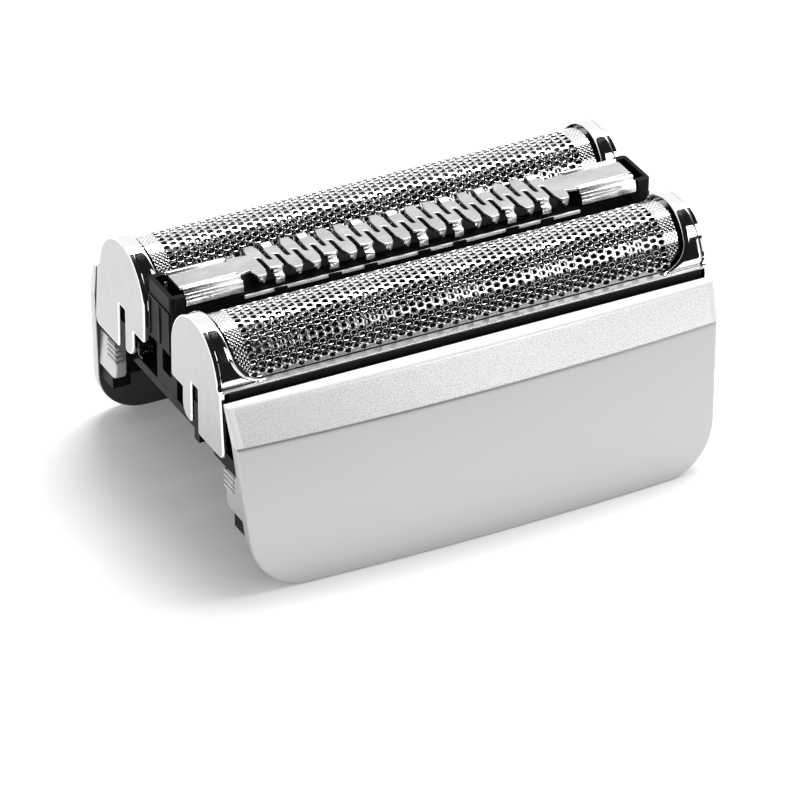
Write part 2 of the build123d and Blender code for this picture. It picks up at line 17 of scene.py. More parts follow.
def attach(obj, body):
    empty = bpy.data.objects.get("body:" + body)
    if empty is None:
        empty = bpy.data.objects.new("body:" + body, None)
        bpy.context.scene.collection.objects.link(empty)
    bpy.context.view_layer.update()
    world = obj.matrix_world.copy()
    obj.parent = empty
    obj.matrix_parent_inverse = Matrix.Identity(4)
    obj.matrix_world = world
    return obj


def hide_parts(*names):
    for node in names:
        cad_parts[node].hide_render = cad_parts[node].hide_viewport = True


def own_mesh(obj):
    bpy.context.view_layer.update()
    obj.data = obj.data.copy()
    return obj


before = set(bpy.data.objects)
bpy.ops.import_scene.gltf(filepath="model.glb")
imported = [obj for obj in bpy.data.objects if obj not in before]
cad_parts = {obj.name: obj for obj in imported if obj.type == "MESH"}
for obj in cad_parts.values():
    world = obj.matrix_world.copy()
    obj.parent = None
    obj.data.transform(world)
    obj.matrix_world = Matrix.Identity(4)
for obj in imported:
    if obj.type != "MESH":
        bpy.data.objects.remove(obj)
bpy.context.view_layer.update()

MM = 0.001
IMAGE_SIDE = 800
MERGE_GAP = 2e-7
SHORTEST_EDGE = 1e-8
WELD_GAP = 1e-6
FLAT_DEGREES = 1.0
BEVEL_DEGREES = 40.0
NOISE_LOW = 0.3
NOISE_HIGH = 0.7
log = logging.getLogger("foil_head")


class Side(Enum):
    """The two mirrored halves of the cassette, with the sign of their Y."""

    FRONT = -1
    REAR = 1

    @property
    def label(self) -> str:
        """Prefix of the half's pieces."""
        return self.name.lower()


class Axis(Enum):
    """The axis that a flat outline is raised along, as the order of (first, second, height)."""

    X = (2, 0, 1)
    Z = (0, 1, 2)


class Wire:
    """A shader socket with arithmetic: an expression on values adds its Math nodes."""

    def __init__(self, sheet: "Sheet", socket: bpy.types.NodeSocket) -> None:
        """Keeps the socket and the sheet that it is on."""
        self.sheet = sheet
        self.socket = socket

    def _math(self, operation: str, first: Any, second: Any) -> "Wire":
        """Adds one Math node.

        Args:
            operation: the Math node's operation.
            first: its first value, a number or a wire.
            second: its second value, a number or a wire.

        Returns:
            The wire of its result.
        """
        return self.sheet.node("ShaderNodeMath", {"operation": operation}, {0: first, 1: second})

    def __add__(self, other: Any) -> "Wire":
        """Sum."""
        return self._math("ADD", self, other)

    def __radd__(self, other: Any) -> "Wire":
        """Sum with a number before it."""
        return self._math("ADD", other, self)

    def __sub__(self, other: Any) -> "Wire":
        """Difference."""
        return self._math("SUBTRACT", self, other)

    def __rsub__(self, other: Any) -> "Wire":
        """Difference from a number."""
        return self._math("SUBTRACT", other, self)

    def __mul__(self, other: Any) -> "Wire":
        """Product."""
        return self._math("MULTIPLY", self, other)

    def __rmul__(self, other: Any) -> "Wire":
        """Product with a number before it."""
        return self._math("MULTIPLY", other, self)

    def __gt__(self, other: Any) -> "Wire":
        """One where this is the larger."""
        return self._math("GREATER_THAN", self, other)

    def size(self) -> "Wire":
        """Value without its sign."""
        return self._math("ABSOLUTE", self, 0.0)


class Sheet:
    """The node tree of a material or of the world, with the one method that makes its nodes."""

    def __init__(self, owner: bpy.types.Material | bpy.types.World) -> None:
        """Empties the owner's node tree.

        Args:
            owner: the material or the world.
        """
        owner.use_nodes = True
        self.owner = owner
        self.tree = owner.node_tree
        self.tree.nodes.clear()

    @classmethod
    def named(cls, name: str) -> "Sheet":
        """The sheet of a new material of that name."""
        return cls(bpy.data.materials.new(name))

    def make(
        self, kind: str, settings: dict[str, Any], sockets: dict[Any, Any]
    ) -> bpy.types.Node:
        """Makes a node.

        Args:
            kind: the node's type.
            settings: its properties, which are set first.
            sockets: a value or a wire for each input, by name or number.

        Returns:
            The node.
        """
        made = self.tree.nodes.new(kind)
        for key, value in settings.items():
            setattr(made, key, value)
        for key, value in sockets.items():
            if isinstance(value, Wire):
                self.tree.links.new(value.socket, made.inputs[key])
            else:
                made.inputs[key].default_value = value
        return made

    def node(
        self, kind: str, settings: dict[str, Any], sockets: dict[Any, Any], output: Any = 0
    ) -> Wire:
        """Makes a node and gives the wire of one output, by name or number."""
        return Wire(self, self.make(kind, settings, sockets).outputs[output])

    def place(self, scale: tuple[float, float, float]) -> Wire:
        """Object coordinates times a scale.

        Args:
            scale: cells in a millimetre along X, Y and Z.

        Returns:
            The wire of the scaled place.
        """
        spot = self.node("ShaderNodeTexCoord", {}, {}, "Object")
        wide = tuple(value / MM for value in scale)
        return self.node("ShaderNodeMapping", {}, {"Vector": spot, "Scale": wide})

    def noise(self, scale: tuple[float, float, float], detail: float = 3.0) -> Wire:
        """Soft noise from 0 to 1.

        Args:
            scale: cells in a millimetre along X, Y and Z.
            detail: octaves of finer noise.

        Returns:
            The wire of the noise.
        """
        sockets = {"Vector": self.place(scale), "Scale": 1.0, "Detail": detail}
        return self.node("ShaderNodeTexNoise", {}, sockets, "Fac")

    def ramp(self, value: Wire, low: float, high: float, start: float, end: float) -> Wire:
        """Smooth step of a value.

        Args:
            value: the wire that is read.
            low: its value where the step starts.
            high: its value where the step ends.
            start: the result below low.
            end: the result above high.

        Returns:
            The wire of the result.
        """
        sockets = {"Value": value, 1: low, 2: high, 3: start, 4: end}
        return self.node("ShaderNodeMapRange", {"interpolation_type": "SMOOTHSTEP"}, sockets)

    def blend(self, share: Wire, first: Any, second: Any) -> Wire:
        """Mix of two colours.

        Args:
            share: 0 for the first colour, 1 for the second.
            first: a colour or its wire.
            second: a colour or its wire.

        Returns:
            The wire of the mixed colour.
        """
        return self.node("ShaderNodeMix", {"data_type": "RGBA"}, {0: share, 6: first, 7: second}, 2)

    def finish(self, sockets: dict[str, Any], height: Wire, relief: float) -> bpy.types.Material:
        """Ends the sheet in a Principled shader with a bump.

        Args:
            sockets: the shader's values and wires.
            height: the bump's height from 0 to 1.
            relief: how deep the bump is, in millimetres.

        Returns:
            The material.
        """
        bump = {"Strength": 1.0, "Distance": relief * MM, "Height": height}
        normal = self.node("ShaderNodeBump", {}, bump)
        self.show(self.node("ShaderNodeBsdfPrincipled", {}, {**sockets, "Normal": normal}))
        return self.owner

    def show(self, shader: Wire, output: str = "ShaderNodeOutputMaterial") -> None:
        """Links a shader to the surface of an output node."""
        self.make(output, {}, {"Surface": shader})


def grey(level: float, tint: float = 0.0) -> tuple[float, float, float, float]:
    """A grey with a slight blue tint, as linear red, green, blue and alpha."""
    return (level * (1 - tint), level, level * (1 + tint), 1.0)


@dataclass(frozen=True)
class Finish:
    """A metal, lacquer or plastic: two close tones, a mottled roughness and a fine grain."""

    name: str
    dark: tuple[float, float, float, float]
    light: tuple[float, float, float, float]
    metallic: float
    smooth: float
    rough: float
    grain: tuple[float, float, float]
    relief: float
    cloud: tuple[float, float, float] = (0.4, 0.4, 0.4)
    cloud_detail: float = 2.0
    specular: float = 0.5

    def material(self) -> bpy.types.Material:
        """Builds the material.

        Tone and roughness follow a mix of broad noise and grain, and the grain is the bump.

        Returns:
            The material.
        """
        sheet = Sheet.named(self.name)
        grain = sheet.noise(self.grain)
        cloud = sheet.noise(self.cloud, self.cloud_detail)
        tone = sheet.ramp(cloud * 0.6 + grain * 0.4, NOISE_LOW, NOISE_HIGH, 0.0, 1.0)
        wear = grain * 0.5 + cloud * 0.5
        sockets = {
            "Base Color": sheet.blend(tone, self.dark, self.light),
            "Roughness": sheet.ramp(wear, NOISE_LOW, NOISE_HIGH, self.smooth, self.rough),
            "Metallic": self.metallic,
            "Specular IOR Level": self.specular,
        }
        return sheet.finish(sockets, grain, self.relief)


@dataclass(frozen=True)
class BlastedLacquer(Finish):
    """Silver lacquer with a blasted band under the rim (rougher, lighter, sparkling); its rim and band
    ends are painted light as a highlight.
    """

    band_z: float = 13.8
    rim_z: float = 16.875
    end_x: float = 21.45
    end_slope: float = 0.0756
    soft: float = 0.03
    # Light grey of the border over the rim and at the band's ends: a painted highlight.
    border: tuple[float, float, float, float] = grey(0.8)
    band_dark: tuple[float, float, float, float] = grey(0.93)
    band_light: tuple[float, float, float, float] = grey(1.0)
    band_metallic: float = 0.36
    band_smooth: float = 0.21
    band_rough: float = 0.37
    spark: float = 11.0
    glint: tuple[float, float] = (0.35, 0.75)
    spark_height: float = 0.42
    grain_height: float = 0.35

    def past(self, sheet: Sheet, value: Wire, place: float) -> Wire:
        """Smooth step from 0 to 1 where a value passes a place in millimetres."""
        return sheet.ramp(value, (place - self.soft) * MM, (place + self.soft) * MM, 0.0, 1.0)

    def material(self) -> bpy.types.Material:
        """Builds the material.

        The band's share is a step of Z that stops under the rim and, at each end, at a line that
        leans with the panel. What is left above the step is a border painted a light, non-metallic
        grey: a painted highlight along the rim and the band's ends. The band's sparkle is fine noise.

        Returns:
            The material.
        """
        sheet = Sheet.named(self.name)
        grain = sheet.noise(self.grain)
        cloud = sheet.noise(self.cloud, self.cloud_detail)
        spark = sheet.noise((self.spark, self.spark, self.spark), 1.0)
        spot = sheet.node("ShaderNodeTexCoord", {}, {}, "Object")
        x = sheet.node("ShaderNodeSeparateXYZ", {}, {"Vector": spot}, "X")
        z = sheet.node("ShaderNodeSeparateXYZ", {}, {"Vector": spot}, "Z")
        above = self.past(sheet, z, self.band_z)
        rim = self.past(sheet, z, self.rim_z)
        end = self.past(sheet, x.size() - z * self.end_slope, self.end_x)
        band = above * (1.0 - rim) * (1.0 - end)
        # Painted highlight mask: the border over the rim and at the band's ends, light grey and not
        # metallic.
        border = above * (1.0 - band)
        glint = sheet.ramp(spark, *self.glint, 0.0, 1.0)
        plain = sheet.blend(cloud, self.dark, self.light)
        blasted = sheet.blend(glint, self.band_dark, self.band_light)
        matt = sheet.ramp(spark, NOISE_LOW, NOISE_HIGH, self.band_smooth, self.band_rough)
        wear = grain * 0.4 + cloud * 0.6
        satin = sheet.ramp(wear, NOISE_LOW, NOISE_HIGH, self.smooth, self.rough)
        metallic = self.metallic + band * (self.band_metallic - self.metallic)
        sockets = {
            "Base Color": sheet.blend(border, sheet.blend(band, plain, blasted), self.border),
            "Roughness": satin + band * (matt - satin),
            "Metallic": metallic * (1.0 - border),
            "Specular IOR Level": self.specular,
        }
        smooth = grain * self.grain_height
        height = smooth + band * (spark * self.spark_height - smooth)
        return sheet.finish(sockets, height, self.relief)


@dataclass(frozen=True)
class Electroform(Finish):
    """Bright nickel of the foil, with a field of tiny dots on the plain stretch at each end."""

    field_x: float = 20.1
    arch_low: float = 0.6
    dot_pitch: float = 0.29
    dot_r: float = 0.09
    dot_edge: tuple[float, float] = (0.3, 1.3)
    dot_tone: tuple[float, float, float, float] = grey(0.5)
    dot_depth: float = 14.0
    grain_height: float = 0.3

    def material(self) -> bpy.types.Material:
        """Builds the material.

        Dots are the cells of a lattice over X and the length round the arch, turned by half a right
        angle. They show past the field of holes and above the foot of the arch, as dimples.

        Returns:
            The material.
        """
        sheet = Sheet.named(self.name)
        grain = sheet.noise(self.grain)
        cloud = sheet.noise(self.cloud, self.cloud_detail)
        spot = sheet.node("ShaderNodeTexCoord", {}, {}, "UV")
        along = sheet.node("ShaderNodeSeparateXYZ", {}, {"Vector": spot}, "X")
        round_arch = sheet.node("ShaderNodeSeparateXYZ", {}, {"Vector": spot}, "Y")
        quarter = (0.0, 0.0, np.pi / 4)
        turned = sheet.node("ShaderNodeMapping", {}, {"Vector": spot, "Rotation": quarter})
        lattice = {"Vector": turned, "Scale": 1 / self.dot_pitch, "Randomness": 0.0}
        cell = sheet.node("ShaderNodeTexVoronoi", {"voronoi_dimensions": "2D"}, lattice, "Distance")
        inner, outer = np.array(self.dot_edge) * self.dot_r / self.dot_pitch
        dot = sheet.ramp(cell, inner, outer, 1.0, 0.0)
        dot = dot * (along.size() > self.field_x) * (round_arch > self.arch_low)
        bright = sheet.blend(cloud, self.dark, self.light)
        sockets = {
            "Base Color": sheet.blend(dot, bright, self.dot_tone),
            "Roughness": sheet.ramp(grain, NOISE_LOW, NOISE_HIGH, self.smooth, self.rough),
            "Metallic": self.metallic,
        }
        height = grain * self.grain_height - dot * self.dot_depth
        return sheet.finish(sockets, height, self.relief)


@dataclass(frozen=True)
class Finishes:
    """Every finish of the cassette, built once."""

    lacquer: bpy.types.Material
    chrome: bpy.types.Material
    cap_face: bpy.types.Material
    nickel: bpy.types.Material
    black: bpy.types.Material
    grey: bpy.types.Material
    comb: bpy.types.Material
    polished: bpy.types.Material
    rail: bpy.types.Material
    blade: bpy.types.Material
    spring: bpy.types.Material

    @classmethod
    def build(cls) -> "Finishes":
        """Builds the materials.

        Returns:
            The set of finishes.
        """
        lacquer = BlastedLacquer(
            "satin silver lacquer", dark=grey(0.525, 0.01), light=grey(0.565, 0.01), metallic=0.6,
            smooth=0.3, rough=0.36, grain=(14.0, 14.0, 14.0), relief=0.004, cloud=(0.05, 0.05, 0.08),
        )
        chrome = Finish(
            "bright chrome", dark=grey(0.92), light=grey(0.95), metallic=1.0,
            smooth=0.04, rough=0.07, grain=(3.0, 3.0, 3.0), relief=0.0006,
        )
        cap_face = Finish(
            "satin cap face", dark=grey(0.47), light=grey(0.54), metallic=0.85,
            smooth=0.3, rough=0.42, grain=(3.0, 5.0, 1.6), relief=0.004, cloud=(1.0, 1.2, 0.6),
        )
        nickel = Electroform(
            "electroformed nickel", dark=grey(0.72, -0.01), light=grey(0.8, -0.01), metallic=1.0,
            smooth=0.07, rough=0.11, grain=(5.0, 5.0, 5.0), relief=0.002,
        )
        # Black plastic; also painted shade on the moving trimmer blade.
        black = Finish(
            "satin black plastic and painted shade", dark=grey(0.005), light=grey(0.008), metallic=0.0,
            smooth=0.32, rough=0.44, grain=(18.0, 18.0, 18.0), relief=0.004, specular=0.06,
        )
        # Grey plastic; also painted shade on the foils' hole walls and undersides and on the panels'
        # inner faces.
        mid = Finish(
            "grey plastic and painted shade", dark=grey(0.03), light=grey(0.045), metallic=0.0,
            smooth=0.38, rough=0.5, grain=(12.0, 12.0, 12.0), relief=0.004,
        )
        comb = Finish(
            "satin comb steel", dark=grey(0.47), light=grey(0.53), metallic=0.95,
            smooth=0.24, rough=0.34, grain=(1.2, 16.0, 16.0), relief=0.0025, cloud=(0.3, 0.6, 0.6),
        )
        polished = Finish(
            "polished steel", dark=grey(0.8), light=grey(0.86), metallic=1.0,
            smooth=0.26, rough=0.32, grain=(0.5, 6.0, 6.0), relief=0.0002,
        )
        rail = Finish(
            "satin rail steel", dark=grey(0.9), light=grey(0.95), metallic=0.2,
            smooth=0.28, rough=0.38, grain=(1.0, 8.0, 8.0), relief=0.001,
        )
        blade = Finish(
            "ground blade steel", dark=grey(0.58), light=grey(0.66), metallic=1.0,
            smooth=0.16, rough=0.24, grain=(14.0, 2.0, 2.0), relief=0.002,
        )
        spring = Finish(
            "spring strip", dark=grey(0.4, -0.03), light=grey(0.48, -0.03), metallic=1.0,
            smooth=0.22, rough=0.32, grain=(10.0, 1.5, 10.0), relief=0.002,
        )
        made = (lacquer, chrome, cap_face, nickel, black, mid, comb, polished, rail, blade, spring)
        return cls(*[finish.material() for finish in made])


def arc(centre: tuple[float, float], r: float, start: float, end: float, count: int) -> np.ndarray:
    """Points on a circle at even angles.

    Args:
        centre: the circle's centre.
        r: its radius.
        start: first angle in degrees.
        end: last angle in degrees.
        count: how many points.

    Returns:
        Array of points, centre + r (cos, sin).
    """
    turn = np.radians(np.linspace(start, end, count))
    return np.stack([centre[0] + r * np.cos(turn), centre[1] + r * np.sin(turn)], axis=-1)


def rounded_outline(corners: list[tuple[float, float, float]], steps: int = 5) -> np.ndarray:
    """Closed outline whose corners are rounded.

    Each corner of radius r becomes an arc between the two points at r / tan(half its angle) from
    it along its sides: the hub plus the two radii, mixed by the sines of the parts of the turn.

    Args:
        corners: first place, second place and radius of each corner, in turn.
        steps: points on each rounded corner.

    Returns:
        Array of points.
    """
    table = np.array(corners, dtype=float)
    spot = table[:, :2]
    back = np.roll(spot, 1, axis=0) - spot
    ahead = np.roll(spot, -1, axis=0) - spot
    back /= np.linalg.norm(back, axis=1, keepdims=True)
    ahead /= np.linalg.norm(ahead, axis=1, keepdims=True)
    cosine = np.clip((back * ahead).sum(axis=1), -1.0, 1.0)
    reach = (table[:, 2] * np.sqrt((1 + cosine) / (1 - cosine)))[:, None]
    middle = back + ahead
    middle /= np.linalg.norm(middle, axis=1, keepdims=True)
    hub = spot + middle * np.hypot(reach, table[:, 2:])
    turn = (np.pi - np.arccos(cosine))[:, None, None]
    share = np.linspace(0, 1, steps)[None, :, None]
    first = (spot + back * reach - hub)[:, None]
    last = (spot + ahead * reach - hub)[:, None]
    mixed = first * np.sin((1 - share) * turn) + last * np.sin(share * turn)
    return distinct((hub[:, None] + mixed / np.sin(turn)).reshape(-1, 2))


def distinct(outline: np.ndarray) -> np.ndarray:
    """Closed outline without points that repeat the one before."""
    step = np.linalg.norm(outline - np.roll(outline, 1, axis=0), axis=1)
    return outline[step > 1e-6]


def eased(path: tuple[tuple[float, float], ...], times: int = 2) -> np.ndarray:
    """Rounds an open path: each time, every corner gives way to points a quarter along its sides.

    Args:
        path: points of the path.
        times: how often the corners are cut.

    Returns:
        Array of points with the same two ends.
    """
    points = np.array(path)
    for _ in range(times):
        ahead = points[1:] - points[:-1]
        cut = np.stack([points[:-1] + 0.25 * ahead, points[:-1] + 0.75 * ahead], axis=1)
        points = np.concatenate([points[:1], cut.reshape(-1, 2), points[-1:]])
    return points


def inset(outline: np.ndarray, amount: float) -> np.ndarray:
    """Closed outline moved inwards.

    Each point moves by the mitre of its two sides: (n1 + n2) / (1 + n1 . n2) times the amount, with
    the divisor kept from nothing where the outline turns back on itself.

    Args:
        outline: array of points.
        amount: how far the sides move inwards.

    Returns:
        Array of as many points.
    """
    side = np.roll(outline, -1, axis=0) - outline
    side /= np.linalg.norm(side, axis=1, keepdims=True)
    turned = np.stack([side[:, 1], -side[:, 0]], axis=-1)
    ahead = np.roll(outline, -1, axis=0)
    area = (outline[:, 0] * ahead[:, 1] - outline[:, 1] * ahead[:, 0]).sum()
    turned *= np.sign(area)
    before = np.roll(turned, 1, axis=0)
    mitre = (turned + before) / np.maximum(1 + (turned * before).sum(axis=1, keepdims=True), 0.5)
    return outline - amount * mitre


def edge_rings(low: float, high: float, low_r: float, high_r: float, steps: int = 4) -> np.ndarray:
    """Levels of a raised outline with rounded edges.

    At each end the inset is r (1 - sin a) and the height from the end r (1 - cos a). One more level
    lies just inside each face, so that the face stays flat in the light.

    Args:
        low: height of the first face.
        high: height of the last face.
        low_r: edge radius at the first face.
        high_r: edge radius at the last face.
        steps: levels on each rounded edge.

    Returns:
        Array of (inset, height).
    """
    turn = np.linspace(0, np.pi / 2, steps)
    way = np.sign(high - low)
    first = np.stack([low_r * (1 - np.sin(turn)), low + way * low_r * (1 - np.cos(turn))], axis=-1)
    last = np.stack([high_r * (1 - np.sin(turn)), high - way * high_r * (1 - np.cos(turn))], -1)
    flat = 0.02
    return np.concatenate([[(low_r + flat, low)], first, last[::-1], [(high_r + flat, high)]])


@dataclass
class Shell:
    """Patches of a surface, gathered as arrays and made one mesh."""

    points: list[np.ndarray] = field(default_factory=list)
    faces: list[list[list[int]]] = field(default_factory=list)
    paints: list[np.ndarray] = field(default_factory=list)
    count: int = 0

    def patch(self, points: np.ndarray, faces: list[list[int]], paint: int) -> None:
        """Keeps a patch of the surface.

        Args:
            points: its points, in rows and columns or as a list.
            faces: its faces, as numbers of points of the whole shell.
            paint: number of its finish.
        """
        self.points.append(points.reshape(-1, 3))
        self.faces.append(faces)
        self.paints.append(np.full(len(faces), paint))
        self.count += points.size // 3

    def net(self, points: np.ndarray, closed: bool = False, paint: int = 0) -> None:
        """Adds a grid of quads.

        Args:
            points: array of rows, columns and places.
            closed: whether the last column joins the first.
            paint: number of the finish.
        """
        rows, columns = points.shape[:2]
        index = np.arange(rows * columns).reshape(rows, columns) + self.count
        if closed:
            index = np.concatenate([index, index[:, :1]], axis=1)
        corner = (index[:-1, :-1], index[:-1, 1:], index[1:, 1:], index[1:, :-1])
        self.patch(points, np.stack(corner, axis=-1).reshape(-1, 4).tolist(), paint)

    def lid(self, ring: np.ndarray, paint: int = 0) -> None:
        """Adds one flat face over a ring of points."""
        self.patch(ring, [list(range(self.count, self.count + len(ring)))], paint)

    def raised(
        self, outline: np.ndarray, axis: Axis, rings: np.ndarray, paint: int = 0, lid: int = 0
    ) -> None:
        """Adds an outline raised along an axis: one row of points for each (inset, height).

        Args:
            outline: closed outline, array of points.
            axis: the axis that it is raised along.
            rings: array of (inset, height).
            paint: number of the finish of the sides.
            lid: number of the finish of the last face.
        """
        rows = [np.column_stack([inset(outline, r), np.full(len(outline), h)]) for r, h in rings]
        points = np.stack(rows)[:, :, axis.value]
        self.net(points, closed=True, paint=paint)
        self.lid(points[0], paint)
        self.lid(points[-1], lid)

    def box(
        self, low: tuple[float, ...], high: tuple[float, ...], r: float, paint: int = 0
    ) -> None:
        """Adds a box with rounded edges: a rounded rectangle raised along Z.

        Args:
            low: lowest corner.
            high: highest corner.
            r: edge radius.
            paint: number of the finish.
        """
        (x0, y0, z0), (x1, y1, z1) = low, high
        outline = rounded_outline([(x0, y0, r), (x1, y0, r), (x1, y1, r), (x0, y1, r)])
        self.raised(outline, Axis.Z, edge_rings(z0, z1, r, r), paint, paint)

    def strip(
        self, path: np.ndarray, thick: float, low: float, high: float, r: float, paint: int = 0
    ) -> None:
        """Adds a bent strip: a path in YZ thickened to its left and raised along X.

        Args:
            path: open path, array of (y, z).
            thick: thickness.
            low: lowest X.
            high: highest X.
            r: edge radius.
            paint: number of the finish.
        """
        side = np.gradient(path, axis=0)
        side /= np.linalg.norm(side, axis=1, keepdims=True)
        other = path + thick * np.stack([-side[:, 1], side[:, 0]], axis=-1)
        outline = np.concatenate([path, other[::-1]])
        self.raised(outline, Axis.X, edge_rings(low, high, r, r, 3), paint, paint)

    def mirror(self, x: int = 1, y: int = 1) -> "Shell":
        """A copy with X and Y times a sign each.

        Args:
            x: 1, or -1 to turn X round.
            y: 1, or -1 to turn Y round.

        Returns:
            The copy.
        """
        sign = np.array([x, y, 1.0])
        turned = [points * sign for points in self.points]
        return Shell(turned, list(self.faces), list(self.paints), self.count)

    def join(self, other: "Shell") -> None:
        """Adds the patches of another shell, with the numbers of their points moved on.

        Args:
            other: the other shell.
        """
        self.points += other.points
        self.faces += [(np.array(patch) + self.count).tolist() for patch in other.faces]
        self.paints += other.paints
        self.count += other.count

    def mesh(
        self, name: str, finishes: list[bpy.types.Material], crease: float = 35.0
    ) -> bpy.types.Object:
        """Makes the mesh object, in metres, merged and with faces outwards.

        Args:
            name: name of the object.
            finishes: its materials, by number.
            crease: angle in degrees past which an edge is sharp.

        Returns:
            The object, linked to the scene.
        """
        data = bpy.data.meshes.new(name)
        places = np.concatenate(self.points) * MM
        data.from_pydata(places.tolist(), [], [face for patch in self.faces for face in patch])
        data.polygons.foreach_set("material_index", np.concatenate(self.paints).astype(np.int32))
        work = bmesh.new()
        work.from_mesh(data)
        bmesh.ops.remove_doubles(work, verts=work.verts, dist=MERGE_GAP)
        bmesh.ops.dissolve_degenerate(work, edges=work.edges, dist=SHORTEST_EDGE)
        bmesh.ops.recalc_face_normals(work, faces=work.faces)
        work.to_mesh(data)
        work.free()
        for material in finishes:
            data.materials.append(material)
        data.polygons.foreach_set("use_smooth", np.ones(len(data.polygons), dtype=bool))
        data.set_sharp_from_angle(angle=np.radians(crease))
        made = bpy.data.objects.new(name, data)
        bpy.context.scene.collection.objects.link(made)
        log.info("%s: %d faces", name, len(data.polygons))
        return made


def fit(piece: bpy.types.Object, body: str, slot: str, *nodes: str) -> None:
    """Rides a piece on its body and hides the CAD nodes that it stands for.

    Args:
        piece: the piece.
        body: the body that it moves with.
        slot: not used.
        nodes: the CAD nodes, none where the piece is added to them.
    """
    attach(piece, body)
    if nodes:
        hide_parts(*nodes)


def dress(node: str, material: bpy.types.Material, edge: float = 0.0) -> None:
    """Gives a CAD node its finish, and rounded edges where it is moulded or ground.

    Args:
        node: name of the CAD node.
        material: its finish.
        edge: edge radius in millimetres, 0 for none.
    """
    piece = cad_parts[node]
    if not piece.material_slots:
        piece.data.materials.append(material)
    for place in piece.material_slots:
        place.link = "OBJECT"
        place.material = material
    if edge:
        weld = piece.modifiers.new("weld", "WELD")
        weld.merge_threshold = WELD_GAP
        flat = piece.modifiers.new("flat", "DECIMATE")
        flat.decimate_type = "DISSOLVE"
        flat.angle_limit = np.radians(FLAT_DEGREES)
        bevel = piece.modifiers.new("edge", "BEVEL")
        bevel.width = edge * MM
        bevel.segments = 2
        bevel.limit_method = "ANGLE"
        bevel.angle_limit = np.radians(BEVEL_DEGREES)
        bevel.harden_normals = True
    log.info("%s: %s", node, material.name)


